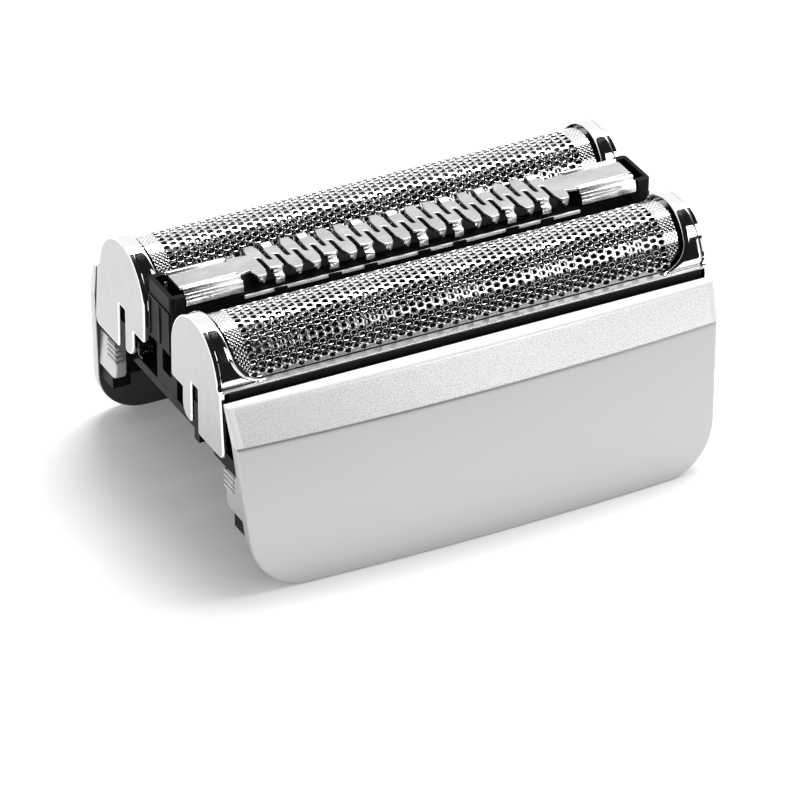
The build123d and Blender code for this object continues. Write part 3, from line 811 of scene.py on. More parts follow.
@dataclass
class SidePanel:
    """Bowed silver side panel with a blasted band under its rim and a grip tab at each end."""

    rim_z: float = 17.2
    band_z: float = 13.8
    rim_y: float = 13.3
    rim_inner_y: float = 12.65
    band_y: float = 14.73
    foot_y: float = 16.34
    rim_bow: float = 0.42
    band_bow: float = 0.95
    foot_bow: float = 0.8
    step: float = 0.13
    rim_half: float = 23.4
    foot_half: float = 22.1
    wall: float = 1.1
    corner_r: float = 5.0
    step_half: float = 0.06
    groove: tuple[float, float, float] = (0.05, 0.13, 0.05)
    border: float = 0.65
    border_groove: tuple[float, float] = (0.014, 0.05)
    rim_groove: tuple[float, float] = (0.012, 0.04)
    edge_r: float = 0.2
    inner_edge_r: float = 0.08
    columns: int = 81
    crease: float = 40.0
    tab_low: tuple[float, float, float] = (21.4, 10.94, 6.0)
    tab_high: tuple[float, float, float] = (22.4, 14.79, 10.1)
    tab_corners: tuple[float, float] = (0.9, 0.2)
    tab_edges: tuple[float, float] = (0.1, 0.18)
    ridges: int = 4
    ridge_pitch: float = 0.5
    ridge_from_top: float = 0.75
    ridge_height: float = 0.32
    ridge_r: float = 0.14
    ridge_reach: float = 1.7
    ridge_ends: tuple[float, float] = (0.2, 0.16)

    @property
    def slope(self) -> float:
        """How far the panel's ends lean out for each millimetre of height."""
        return (self.rim_half - self.foot_half) / self.rim_z

    def face(self, x: np.ndarray, z: np.ndarray) -> np.ndarray:
        """Outer face: straight runs of Z below and above the band's edge, bowed along X.

        The two runs meet in a smooth step, with a fine groove under it. A finer groove frames the
        band at its ends and under the rim. A groove is a bell curve of the distance from its line.

        Args:
            x: places along X.
            z: heights.

        Returns:
            Y of the face.
        """
        low = z / self.band_z
        high = (z - self.band_z) / (self.rim_z - self.band_z)
        main = self.foot_y + (self.band_y - self.step - self.foot_y) * low
        main_bow = self.foot_bow + (self.band_bow - self.foot_bow) * low
        band = self.band_y + (self.rim_y - self.band_y) * high
        band_bow = self.band_bow + (self.rim_bow - self.band_bow) * high
        share = np.clip((z - self.band_z + self.step_half) / (2 * self.step_half), 0, 1)
        share = share * share * (3 - 2 * share)
        bow = 1 - (x / self.rim_half) ** 2
        depth, below, width = self.groove
        groove = depth * np.exp(-(((z - self.band_z + below) / width) ** 2))
        inside = self.foot_half + self.slope * z - np.abs(x) - self.border
        depth, width = self.border_groove
        groove = groove + depth * share * np.exp(-((inside / width) ** 2))
        under_rim = np.where(inside > 0, self.rim_z - self.border / 2 - z, 1.0)
        depth, width = self.rim_groove
        groove = groove + depth * np.exp(-((under_rim / width) ** 2))
        return (1 - share) * (main + main_bow * bow) + share * (band + band_bow * bow) - groove

    def stations(self) -> np.ndarray:
        """Places of the columns, closer together beside the band's ends.

        Returns:
            Shares of the width from 0 to 1.
        """
        near = np.array([0.0, 0.004, 0.008, 0.011, 0.0125, 0.014, 0.0155, 0.017, 0.02, 0.03])
        middle = np.linspace(0.045, 0.955, self.columns - 2 * len(near))
        return np.concatenate([near, middle, 1 - near[::-1]])

    def back(self, z: np.ndarray) -> np.ndarray:
        """Flat inner face, as Y by height."""
        ends = [self.foot_y - self.wall, self.band_y - self.wall, self.rim_inner_y]
        return np.interp(z, [0, self.band_z, self.rim_z], ends)

    def outline(self) -> tuple[np.ndarray, int]:
        """Closed outline in XZ: right side, top, left side, bottom.

        The sides are a round corner and a straight line. Their points lie closer together at the
        band's edge and under the rim, where the face has its step and grooves.

        Returns:
            The points, and how many are on each side.
        """
        lean = np.degrees(np.arctan(self.slope))
        hub = self.foot_half + self.slope * self.corner_r - self.corner_r / np.cos(np.radians(lean))
        turn = arc((hub, self.corner_r), self.corner_r, -90, -lean, 16)
        near = self.band_z + np.array([-0.6, -0.3, -0.2, -0.16, -0.13, -0.1, -0.07, -0.05])
        past = self.band_z + np.array([-0.03, 0.0, 0.03, 0.05, 0.07, 0.12, 0.3])
        low = np.linspace(turn[-1, 1], self.band_z - 1.2, 9)[1:]
        high = self.rim_z - np.array([2.7, 2.2, 1.7, 1.2, 0.8, 0.5, 0.4, 0.36, 0.325, 0.29, 0.25, 0.0])
        z = np.concatenate([low, near, past, high])
        right = np.concatenate([turn, np.column_stack([self.foot_half + self.slope * z, z])])
        left = right * [-1, 1]
        share = self.stations()[1:-1, None]
        bottom = left[0] + (right[0] - left[0]) * share
        top = right[-1] + (left[-1] - right[-1]) * share
        return np.concatenate([right, top, left[::-1], bottom]), len(right)

    def rows(self, ring: np.ndarray, count: int) -> np.ndarray:
        """Grid across the outline: straight rows from its left side to its right side.

        Args:
            ring: outline, or an inset of it.
            count: points on each side.

        Returns:
            Array of rows, columns and (x, z).
        """
        right = ring[:count][:, None]
        left = ring[count + self.columns - 2 : 2 * count + self.columns - 2][::-1][:, None]
        return left + (right - left) * self.stations()[None, :, None]

    def shell(self) -> Shell:
        """Rear panel: outer face, rounded edge, wall, inner face and the tabs; the inner face is dark
        grey plastic that also paints the shade inside the cassette.

        Returns:
            The shell.
        """
        shell = Shell()
        ring, count = self.outline()
        turn = np.linspace(0, np.pi / 2, 5)
        rows = []
        for a in turn:
            spot = inset(ring, self.edge_r * (1 - np.sin(a)))
            y = self.face(*spot.T) - self.edge_r * (1 - np.cos(a))
            rows.append(np.column_stack([spot[:, 0], y, spot[:, 1]]))
        for a in turn[::-1]:
            spot = inset(ring, self.inner_edge_r * (1 - np.sin(a)))
            y = self.back(spot[:, 1]) + self.inner_edge_r * (1 - np.cos(a))
            rows.append(np.column_stack([spot[:, 0], y, spot[:, 1]]))
        shell.net(np.stack(rows), closed=True)
        grid = self.rows(inset(ring, self.edge_r), count)
        x, z = grid[..., 0], grid[..., 1]
        shell.net(np.stack([x, self.face(x, z), z], axis=-1))
        grid = self.rows(inset(ring, self.inner_edge_r), count)
        x, z = grid[..., 0], grid[..., 1]
        # Inner face in dark grey plastic: bare plastic, and painted shade for the inside of the
        # cassette.
        shell.net(np.stack([x, self.back(z), z], axis=-1), paint=1)
        tab = self.tab_shell()
        shell.join(tab)
        shell.join(tab.mirror(x=-1))
        return shell

    def tab_shell(self) -> Shell:
        """Grip tab at the right end: a rounded plate with ridges that wrap round its inner end.

        Returns:
            The shell.
        """
        shell = Shell()
        (x0, y0, z0), (x1, y1, z1) = self.tab_low, self.tab_high
        inner, outer = self.tab_corners
        corners = [(y0, z0, inner), (y1, z0, outer), (y1, z1, outer), (y0, z1, inner)]
        shell.raised(rounded_outline(corners), Axis.X, edge_rings(x0, x1, *self.tab_edges))
        first, last = self.ridge_ends
        for place in range(self.ridges):
            z = z1 - self.ridge_from_top - self.ridge_pitch * place
            low = (x0 + first, y0 - self.ridge_r, z)
            high = (x1 + last, y0 + self.ridge_reach, z + self.ridge_height)
            shell.box(low, high, self.ridge_r)
        return shell

    def build(self, side: Side, finishes: Finishes) -> None:
        """Makes one panel and fits it.

        Args:
            side: which half.
            finishes: the finishes.
        """
        name = f"{side.label}_panel"
        # The second finish is the dark grey of the inner face, partly painted shade.
        looks = [finishes.lacquer, finishes.grey]
        piece = self.shell().mirror(y=side.value).mesh(f"{name}_dressed", looks, self.crease)
        fit(piece, "housing", "panel_silver", name)


@dataclass
class FoilTrim:
    """Chrome frame of one foil: ledges, arched hoods with a rounded opening, and end caps."""

    foil_y: float = 7.2
    arch_z: float = 17.9
    cap_r: float = 4.5
    tunnel_r: float = 4.13
    cap_half: float = 23.46
    cap_in: float = 23.06
    opening_half: float = 21.3
    opening_lean: float = 0.6
    corner_r: float = 2.4
    ledge_y: float = 12.2
    ring_top: float = 17.75
    ledge_over: float = 0.2
    ledge_edge_r: float = 0.05
    flare_r: float = 0.45
    foot_r: float = 0.1
    shoulder: tuple[float, float] = (0.3, 0.12)
    lip: float = 0.45
    sink: float = 0.08
    cap_edge_r: float = 0.14
    cap_step_z: float = 14.7
    finger: tuple[float, float] = (4.9, 12.0)
    slot: tuple[float, float, float] = (6.6, 7.85, 16.0)
    leg: tuple[float, float] = (12.75, 11.6)

    def hood(self) -> Shell:
        """Right hood: for each angle of the arch, a closed loop along X round the sheet.

        The loop runs over the shoulder beside the cap, a quarter ellipse, along the outer radius to the
        opening, round the lip, a half ellipse, and back along the inner radius. The opening's edge
        follows the rounded corner: its X is a circle of the height, and leans out towards the crown.
        At its outer foot the radius flares out by a small quarter circle of the height, and both feet
        sink a little into the ledges.

        Returns:
            The shell.
        """
        turn = np.concatenate([np.linspace(0, 1.4, 5), np.linspace(2, 170, 70), [174, 177, 180]])
        turn = np.radians(turn)[:, None]
        height = self.cap_r * np.sin(turn)
        fall = self.corner_r - np.minimum(height, self.corner_r)
        edge = self.opening_half - self.corner_r + np.sqrt(self.corner_r**2 - fall**2)
        edge = edge + self.opening_lean * height / self.cap_r
        rise = self.foot_r - np.minimum(height, self.foot_r)
        flare = self.foot_r - np.sqrt(self.foot_r**2 - rise**2)
        outer = self.cap_r + flare * (np.cos(turn) > 0)
        share = np.linspace(0, 1, 12)[None]
        half_turn = np.linspace(0, np.pi, 13)[None, 1:-1]
        quarter = np.tile(np.linspace(0, np.pi / 2, 7), (len(turn), 1))
        width, depth = self.shoulder
        start = self.cap_in - width
        lip_start = edge + self.lip
        run_x = start + (lip_start - start) * share[:, 1:]
        out_x = np.concatenate([start + width * np.cos(quarter), run_x], axis=1)
        dip = np.concatenate([depth * (1 - np.sin(quarter)), np.zeros_like(run_x)], axis=1)
        lip_x = lip_start - self.lip * np.sin(half_turn)
        lip_r = (outer + self.tunnel_r) / 2 + (outer - self.tunnel_r) / 2 * np.cos(half_turn)
        in_x = lip_start + (self.cap_in - lip_start) * share
        x = np.concatenate([out_x, lip_x, in_x], axis=1)
        r = np.concatenate([outer - dip, lip_r, np.full_like(in_x, self.tunnel_r)], axis=1)
        y = self.foil_y + r * np.cos(turn)
        z = self.arch_z + r * np.sin(turn)
        points = np.stack([x, y, z], axis=-1)
        foot = np.array([0.0, 0.0, self.sink])
        points = np.concatenate([points[:1] - foot, points, points[-1:] - foot])
        shell = Shell()
        shell.net(points, closed=True)
        shell.lid(points[0])
        shell.lid(points[-1])
        return shell

    def cap(self) -> Shell:
        """Right end cap: the arch's outline with its legs, raised along X, with a satin face.

        Returns:
            The shell.
        """
        hub = (self.foil_y, self.arch_z)
        start = np.degrees(np.arcsin(self.flare_r / self.cap_r))
        arch = arc(hub, self.cap_r, 180, start, 60)
        flare_hub = (self.foil_y + self.cap_r + self.flare_r, self.arch_z + self.flare_r)
        flare = arc(flare_hub, self.flare_r, 180, 270, 7)[1:]
        finger_y, finger_z = self.finger
        slot_in, slot_out, slot_z = self.slot
        leg_y, leg_z = self.leg
        low_y = self.foil_y - self.cap_r
        corners = [
            (self.ledge_y, self.arch_z, 0.0),
            (leg_y, leg_z, 0.7),
            (slot_out, leg_z, 0.3),
            (slot_out, slot_z, 0.1),
            (slot_in, slot_z, 0.1),
            (slot_in, finger_z, 0.3),
            (finger_y, finger_z, 1.2),
            (finger_y, self.cap_step_z, 0.1),
            (low_y, self.cap_step_z, 0.3),
            (low_y, self.arch_z, 0.0),
        ]
        outline = distinct(np.concatenate([arch, flare, rounded_outline(corners, 6)]))
        shell = Shell()
        rings = edge_rings(self.cap_in, self.cap_half, 0.0, self.cap_edge_r, 6)
        shell.raised(outline, Axis.X, rings, paint=0, lid=1)
        return shell

    def shell(self) -> Shell:
        """Rear frame: two ledge bars along X, and a hood and a cap at each end.

        Returns:
            The shell.
        """
        shell = Shell()
        end = self.cap_in + self.ledge_over
        outer = (self.foil_y + self.tunnel_r, self.ledge_y)
        inner = (self.foil_y - self.cap_r, self.foil_y - self.tunnel_r)
        for near, far in (outer, inner):
            low = (-end, near, self.ring_top)
            shell.box(low, (end, far, self.arch_z), self.ledge_edge_r, 1)
        for part in (self.hood(), self.cap()):
            shell.join(part)
            shell.join(part.mirror(x=-1))
        return shell

    def build(self, side: Side, finishes: Finishes) -> None:
        """Makes one frame and fits it.

        Args:
            side: which half.
            finishes: the finishes.
        """
        name = f"{side.label}_foil_trim"
        looks = [finishes.chrome, finishes.cap_face]
        piece = self.shell().mirror(y=side.value).mesh(f"{name}_dressed", looks)
        fit(piece, f"{side.label}_foil_unit", "chrome_trim", name)


@dataclass
class PerforatedFoil:
    """Thin nickel sheet bent to an arch, with columns of oblong holes whose lips roll inwards."""

    foil_y: float = 7.2
    arch_z: float = 17.9
    r: float = 4.02
    thick: float = 0.1
    half: float = 20.95
    lean: float = 0.6
    corner_r: float = 2.4
    end_margin: float = 0.1
    leg: float = 2.5
    pitch: float = 0.7307
    columns: int = 55
    rows: int = 22
    row_pitch: float = 0.567
    hole: tuple[float, float] = (0.285, 0.175)
    hole_power: float = 0.8
    lip: float = 0.065
    lip_drop: tuple[float, float] = (0.016, 0.055)
    cuts: int = 4
    row_cuts: int = 2
    crease: float = 18.0

    def bend(self, x: np.ndarray, s: np.ndarray, h: np.ndarray) -> np.ndarray:
        """Bends the flat sheet: s is the length round the arch, h the height over its outer face.

        The angle is s / r, held between 0 and a half turn, past which the legs run straight down.

        Args:
            x: places along X.
            s: lengths round the arch.
            h: heights over the outer face.

        Returns:
            Array of places.
        """
        span = np.pi * self.r
        turn = np.clip(s, 0, span) / self.r
        drop = np.minimum(s, 0) - np.maximum(s - span, 0)
        y = self.foil_y + (self.r + h) * np.cos(turn)
        z = self.arch_z + (self.r + h) * np.sin(turn) + drop
        return np.stack(np.broadcast_arrays(x, y, z), axis=-1)

    def start(self) -> float:
        """Length round the arch where the first row of holes starts."""
        return (np.pi * self.r - self.rows * self.row_pitch) / 2

    def end_x(self, s: np.ndarray) -> np.ndarray:
        """Place of the sheet's end: a circle of the height that leans out towards the crown.

        Args:
            s: lengths round the arch.

        Returns:
            Places along X, never inside the field of holes.
        """
        height = self.r * np.sin(np.clip(s, 0, np.pi * self.r) / self.r)
        fall = self.corner_r - np.minimum(height, self.corner_r)
        edge = self.half - self.corner_r + np.sqrt(self.corner_r**2 - fall**2)
        least = self.columns * self.pitch / 2 + self.end_margin
        return np.maximum(edge + self.lean * height / self.r, least)

    def ends(self, s: np.ndarray) -> np.ndarray:
        """Places along X from the field of holes to the right end, one row for each length."""
        field_half = self.columns * self.pitch / 2
        return field_half + (self.end_x(s) - field_half)[:, None] * np.linspace(0, 1, 5)

    def sheet(self, shell: Shell, x: np.ndarray, s: np.ndarray) -> None:
        """Adds both faces of a plain stretch; the underside gets the dark grey of painted shade.

        Args:
            shell: the shell that is added to.
            x: places along X, in one row or in one for each length.
            s: lengths round the arch.
        """
        for paint, h in enumerate((0.0, -self.thick)):
            shell.net(self.bend(x, s[:, None], np.array(h)), paint=paint)

    def cells(self, shell: Shell, odd: int) -> None:
        """Adds every second column of holes; odd columns have one hole fewer.

        Each hole is a fan of rings from the cell's square border to the lip, the wall and the
        underside's border. The hole is a rounded oblong: its half-sizes times the cosine and the
        sine of the turn, each raised to a power below one. Wall and underside have the second finish,
        a dark grey: painted shade inside the holes, and the matt inside of the sheet.

        Args:
            shell: the shell that is added to.
            odd: 0 for the first column and every second one after it, 1 for those between.
        """
        mid_x = (np.arange(odd, self.columns, 2) - (self.columns - 1) / 2) * self.pitch
        mid_s = self.start() + (np.arange(self.rows - odd) + (1 + odd) / 2) * self.row_pitch
        edge = np.linspace(-1, 1, self.cuts + 1)[:-1]
        rise = np.linspace(-1, 1, self.row_cuts + 1)[:-1]
        one = np.ones(self.cuts)
        side = np.ones(self.row_cuts)
        border = np.concatenate(
            [
                np.column_stack([edge, -one]),
                np.column_stack([side, rise]),
                np.column_stack([-edge, one]),
                np.column_stack([-side, -rise]),
            ]
        )
        count = len(border)
        turn = np.pi * (np.arange(count) * 2 - count / 2 - self.cuts) / count
        wave = np.column_stack([np.cos(turn), np.sin(turn)])
        oblong = np.sign(wave) * np.abs(wave) ** self.hole_power
        border = border * [self.pitch / 2, self.row_pitch / 2]
        hole = np.array(self.hole)
        rings = [
            (border, 0.0),
            (oblong * (hole + self.lip), 0.0),
            (oblong * (hole + 0.5 * self.lip), -self.lip_drop[0]),
            (oblong * hole, -self.lip_drop[1]),
            (oblong * hole, -self.thick),
            (border, -self.thick),
        ]
        flat = np.stack([spot for spot, _ in rings])[:, None, None]
        height = np.array([h for _, h in rings])[:, None, None, None]
        x = flat[..., 0] + mid_x[None, :, None, None]
        s = flat[..., 1] + mid_s[None, None, :, None]
        points = self.bend(*np.broadcast_arrays(x, s, height))
        for ring in range(len(rings) - 1):
            pair = points[ring : ring + 2]
            index = np.arange(pair[..., 0].size).reshape(pair.shape[:4]) + shell.count
            ahead = np.roll(index, -1, axis=3)
            quads = np.stack([index[0], ahead[0], ahead[1], index[1]], axis=-1)
            # Rings past the lip (wall and underside) get the dark grey: painted shade inside the holes.
            shell.patch(pair, quads.reshape(-1, 4).tolist(), int(ring > 2))

    def shell(self) -> Shell:
        """Rear foil: columns of holes, plain ends, legs and the sheet's edges.

        Returns:
            The shell.
        """
        shell = Shell()
        field_half = self.columns * self.pitch / 2
        inner = np.linspace(-field_half, field_half, self.columns * self.cuts + 1)
        span = np.pi * self.r
        field_s = np.linspace(0, self.rows * self.row_pitch, self.rows * self.row_cuts + 1)
        field_s = field_s + self.start()
        low_s = np.concatenate([[-self.leg], np.linspace(0, self.start(), 3)])
        high_s = span - low_s[::-1]
        for s in (low_s, high_s):
            end = self.ends(s)
            middle = np.tile(inner[1:-1], (len(s), 1))
            full = np.concatenate([-end[:, ::-1], middle, end], axis=1)
            self.sheet(shell, full, s)
        end = self.ends(field_s)
        for x in (end, -end[:, ::-1]):
            self.sheet(shell, x, field_s)
        for odd in (0, 1):
            self.cells(shell, odd)
        half_cell = self.row_cuts // 2 + 1
        for column in range(1, self.columns, 2):
            x = inner[column * self.cuts : (column + 1) * self.cuts + 1]
            self.sheet(shell, x, field_s[:half_cell])
            self.sheet(shell, x, field_s[-half_cell:])
        all_s = np.concatenate([low_s, field_s[1:-1], high_s])
        depth = np.array([0.0, -self.thick])
        for side in (-1, 1):
            shell.net(self.bend(side * self.end_x(all_s)[:, None], all_s[:, None], depth[None, :]))
        for s in (-self.leg, span + self.leg):
            shell.net(self.bend(full[0][:, None], np.array(s), depth[None, :]))
        return shell

    def build(self, side: Side, finishes: Finishes) -> None:
        """Makes one foil and fits it, with X and the length round the arch as its UV map.

        Args:
            side: which half.
            finishes: the finishes.
        """
        name = f"{side.label}_foil"
        # The second finish, dark grey, is painted shade on the hole walls and the underside.
        looks = [finishes.nickel, finishes.grey]
        piece = self.shell().mirror(y=side.value).mesh(f"{name}_dressed", looks, self.crease)
        data = piece.data
        place = np.empty(3 * len(data.vertices))
        data.vertices.foreach_get("co", place)
        x, y, z = place.reshape(-1, 3).T / MM
        turn = np.arctan2(z - self.arch_z, side.value * y - self.foil_y)
        loops = np.empty(len(data.loops), dtype=np.int32)
        data.loops.foreach_get("vertex_index", loops)
        chart = np.column_stack([x, self.r * turn])[loops]
        data.uv_layers.new(name="sheet").data.foreach_set("uv", chart.ravel())
        fit(piece, f"{side.label}_foil_unit", "foil_nickel", name)


@dataclass
class CutterBlock:
    """Blades of one cutter in a close row, with a plate at each end of the row."""

    foil_y: float = 7.2
    arch_z: float = 17.9
    low: float = 16.2
    r: float = 3.86
    thick: float = 0.2
    pitch: float = 0.8
    count: int = 45
    edge_r: float = 0.03
    window: tuple[float, float] = (4.6, 3.2)
    plate: tuple[float, float, float] = (18.0, 19.3, 3.6)
    plate_edges: tuple[float, float] = (0.1, 0.2)

    def outline(self, r: float, window: bool) -> np.ndarray:
        """Arch over two legs, open below where it has a window.

        Args:
            r: radius of the arch.
            window: whether a window is cut from below.

        Returns:
            Closed outline in YZ.
        """
        hub = (self.foil_y, self.arch_z)
        arch = arc(hub, r, 0, 180, 25)
        foot = [(self.foil_y - r, self.low)]
        if window:
            half, high = self.window[0] / 2, self.low + self.window[1]
            foot += [(self.foil_y - half, self.low), (self.foil_y - half, high)]
            foot += [(self.foil_y + half, high), (self.foil_y + half, self.low)]
        return np.concatenate([arch, foot, [(self.foil_y + r, self.low)]])

    def build(self, side: Side, finishes: Finishes) -> None:
        """Makes the blades and the end plates of one cutter and fits them.

        Args:
            side: which half.
            finishes: the finishes.
        """
        blades = Shell()
        outline = self.outline(self.r, True)
        for x in (np.arange(self.count) - (self.count - 1) / 2) * self.pitch:
            ends = (x - self.thick / 2, x + self.thick / 2)
            blades.raised(outline, Axis.X, edge_rings(*ends, self.edge_r, self.edge_r, 2))
        name = f"{side.label}_cutter_blades"
        piece = blades.mirror(y=side.value).mesh(f"{name}_dressed", [finishes.blade])
        fit(piece, f"{side.label}_cutter", "blade_steel", name)
        plates = Shell()
        low, high, r = self.plate
        plates.raised(self.outline(r, False), Axis.X, edge_rings(low, high, *self.plate_edges))
        plates.join(plates.mirror(x=-1))
        name = f"{side.label}_cutter_end_plates"
        piece = plates.mirror(y=side.value).mesh(name, [finishes.grey])
        fit(piece, f"{side.label}_cutter", "grey_plastic")


@dataclass
class Trimmer:
    """Trimmer between the foils: folded comb, bright rails, black bar and end blocks."""

    top: float = 21.95
    thick: float = 0.25
    half: float = 21.85
    half_y: float = 1.45
    plate_in: float = 16.25
    pitch: float = 1.72
    plate_fold: float = 0.38
    plate_gap: float = 0.1
    slot_w: float = 0.42
    slot_past: float = 0.35
    slot_slant: float = 0.16
    slot_corner: float = 0.1
    slot_flat: float = 0.4
    root_depth: float = 0.25
    root_rise: float = 0.12
    neck: tuple[float, float] = (0.1, 0.42)
    point_y: float = 2.45
    point_w: float = 0.62
    chamfer: float = 0.12
    fold_w: float = 0.86
    fold_tip: float = 0.84
    fold_thick: float = 0.12
    fold_edge_r: float = 0.03
    front_tab: tuple[tuple[float, float], ...] = (
        (-0.1, -0.02), (0.24, -0.02), (0.34, -0.16), (0.36, -0.44),
        (0.5, -0.56), (0.72, -0.56), (0.84, -0.72), (0.84, -1.24),
    )
    rear_tab: tuple[tuple[float, float], ...] = (
        (-0.1, -0.02), (0.25, -0.03), (0.42, -0.16), (0.6, -0.16), (0.8, -0.06),
        (1.1, -0.06), (1.32, -0.2), (1.42, -0.5), (1.44, -1.1),
    )
    nose: tuple[tuple[float, float], ...] = ((0.6, -0.02), (0.9, -0.02), (1.0, -0.16), (1.0, -0.5))
    bead: tuple[tuple[float, float], ...] = (
        (-0.42, -0.03), (-0.36, -0.22), (-0.24, -0.24), (-0.14, -0.06), (-0.04, 0.08),
        (0.14, 0.09), (0.28, -0.02), (0.33, -0.3), (0.44, -0.36), (0.52, -0.22),
        (0.68, -0.22), (0.76, -0.4), (0.78, -0.62), (0.86, -0.72), (0.86, -1.24),
    )
    prong_low: tuple[float, float, float] = (-0.02, -0.3, -0.85)
    prong_high: tuple[float, float, float] = (0.28, -0.08, -0.3)
    prong_r: float = 0.05
    crease: float = 30.0
    front_count: int = 18
    block_x: float = 23.2
    block_low: float = 16.0
    block_high: float = 21.7
    block_half_y: float = 2.34
    rib_half: float = 0.13
    rib_rise: float = 0.1
    rib_in: float = 0.42
    rib_ends: tuple[float, float] = (0.2, 1.5)
    rib_bar: float = 0.25
    rib_r: float = 0.06
    rail_low: tuple[float, float, float] = (-16.25, 2.07, 19.9)
    rail_high: tuple[float, float, float] = (16.25, 2.29, 20.26)
    rail_r: float = 0.1

    def fingers(self, side: Side) -> np.ndarray:
        """Places of one side's fingers along X."""
        count = self.front_count - (side is Side.REAR)
        return (np.arange(count) - (count - 1) / 2) * self.pitch

    def tabs(self, side: Side) -> np.ndarray:
        """Fingers that are folded down as tabs: two in every five.

        Args:
            side: which side.

        Returns:
            Their places along X.
        """
        places = self.fingers(side)
        step = np.arange(len(places)) % 5
        return places[np.isin(step, (1, 4) if side is Side.FRONT else (1, 3))]

    def edge(self, side: Side) -> np.ndarray:
        """One edge of the comb from left to right: fingers with a slot between each two.

        A finger is a fixed set of corners moved along X; a folded finger ends at the sheet's edge.
        A slot is four corners that reach past the middle, with a slanted end.

        Args:
            side: which edge.

        Returns:
            Array of points with Y positive.
        """
        places = self.fingers(side)
        root = (self.pitch - self.slot_w) / 2
        neck_x, neck_y = self.neck
        fold = self.fold_w / 2
        stub = self.half_y + self.thick
        shared = [(-root, self.half_y - self.root_depth), (-root, self.half_y + self.root_rise)]
        point = shared + [
            (-root + neck_x, self.half_y + neck_y),
            (-self.point_w / 2 - self.chamfer, self.point_y - self.chamfer),
            (-self.point_w / 2, self.point_y),
        ]
        folded = shared + [
            (-fold - neck_x, self.half_y + self.root_rise),
            (-fold, stub - self.chamfer / 2),
            (-self.fold_tip * fold, stub),
        ]
        both = np.array([point, folded])
        both = np.concatenate([both, both[:, ::-1] * [-1, 1]], axis=1)
        shape = both[np.isin(places, self.tabs(side)).astype(int)]
        shape = shape + np.stack([places, 0 * places], axis=-1)[:, None]
        wall = self.slot_w / 2
        end = -self.slot_past
        slant = self.slot_slant * side.value
        slot = np.array(
            [
                (-wall, end + self.slot_corner + slant),
                (-wall * self.slot_flat, end),
                (wall * self.slot_flat, end),
                (wall, end + self.slot_corner - slant),
            ]
        )
        gaps = (places[:-1] + places[1:]) / 2
        slots = slot[None] + np.stack([gaps, 0 * gaps], axis=-1)[:, None]
        slots = np.concatenate([slots, slots[-1:]])
        return np.concatenate([shape, slots], axis=1).reshape(-1, 2)[: -len(slot)]

    def comb(self) -> Shell:
        """Comb: the slotted sheet, its folded tabs, prongs under the fingers and end plates.

        Returns:
            The shell.
        """
        shell = Shell()
        low = self.top - self.thick
        front = self.edge(Side.FRONT) * [1, -1]
        rear = self.edge(Side.REAR)[::-1]
        flat = self.half_y - self.plate_fold
        end = self.plate_in + self.plate_gap
        near = np.array([(-self.half, -flat), (-end, -flat), (-end, -self.half_y)])
        far = near[::-1] * [-1, 1]
        outline = np.concatenate([near, front, far, far[::-1] * [1, -1], rear, near[::-1] * [1, -1]])
        rings = edge_rings(low, self.top, self.fold_edge_r, 2 * self.fold_edge_r, 3)
        shell.raised(distinct(outline), Axis.Z, rings)
        for side in Side:
            self.folds(shell, side)
        return shell

    def folds(self, shell: Shell, side: Side) -> None:
        """Adds one side's folded tabs, prongs and the stepped folds of the end plates.

        Args:
            shell: the shell that is added to.
            side: which side.
        """
        edge = np.array([self.half_y, self.top])
        tab = edge + eased(self.front_tab if side is Side.FRONT else self.rear_tab)
        nose = edge + eased(self.nose)
        bead = edge + eased(self.bead)
        sheet = self.fold_thick
        r = self.fold_edge_r
        wing = Shell()
        for x in self.tabs(side):
            wing.strip(tab[::-1], sheet, x - self.fold_w / 2, x + self.fold_w / 2, r, 1)
        for x in np.setdiff1d(self.fingers(side), self.tabs(side)):
            wing.strip(nose[::-1], sheet, x - self.point_w / 2, x + self.point_w / 2, r)
            tip = np.array([x, self.point_y, self.top])
            wing.box(tuple(tip + self.prong_low), tuple(tip + self.prong_high), self.prong_r)
        plate = (self.plate_in + self.fold_thick, self.half - self.plate_gap)
        for sign in (-1, 1):
            wing.strip(bead[::-1], sheet, *sorted(sign * end for end in plate), r, 1)
        shell.join(wing.mirror(y=side.value))

    def block_ribs(self) -> Shell:
        """Low ribs on the outer side of each end block: three upright boxes and a bar across.

        Returns:
            The shell.
        """
        shell = Shell()
        x0, x1 = self.block_x - self.rib_rise, self.block_x + self.rib_rise
        half = self.block_half_y - self.rib_in
        low, high = self.block_low + self.rib_ends[0], self.block_high - self.rib_ends[1]
        for y in (-half, 0.0, half):
            shell.box((x0, y - self.rib_half, low), (x1, y + self.rib_half, high), self.rib_r)
        shell.box((x0, -half, high - self.rib_bar), (x1, half, high), self.rib_r)
        shell.join(shell.mirror(x=-1))
        return shell

    def build(self, finishes: Finishes) -> None:
        """Makes the comb, the ribs and the rails, and dresses the trimmer's CAD nodes.

        The moving blade is painted black as painted shade, so that the gaps of the comb look deep.

        Args:
            finishes: the finishes.
        """
        looks = [finishes.comb, finishes.polished]
        comb = self.comb().mesh("trimmer_comb_dressed", looks, self.crease)
        fit(comb, "trimmer_unit", "comb_steel", "trimmer_comb")
        ribs = self.block_ribs().mesh("trimmer_block_ribs", [finishes.black])
        fit(ribs, "trimmer_unit", "black_plastic")
        dress("trimmer_carrier", finishes.black, edge=0.07)
        shell = Shell()
        shell.box(self.rail_low, self.rail_high, self.rail_r)
        shell.join(shell.mirror(y=-1))
        rails = shell.mesh("trimmer_rails_dressed", [finishes.rail])
        fit(rails, "trimmer_unit", "rail_steel", "trimmer_rails")
        dress("trimmer_shuttle", finishes.grey, edge=0.1)
        # Painted shade: the steel moving blade gets the black finish so the comb's gaps look dark.
        dress("trimmer_blade", finishes.black)


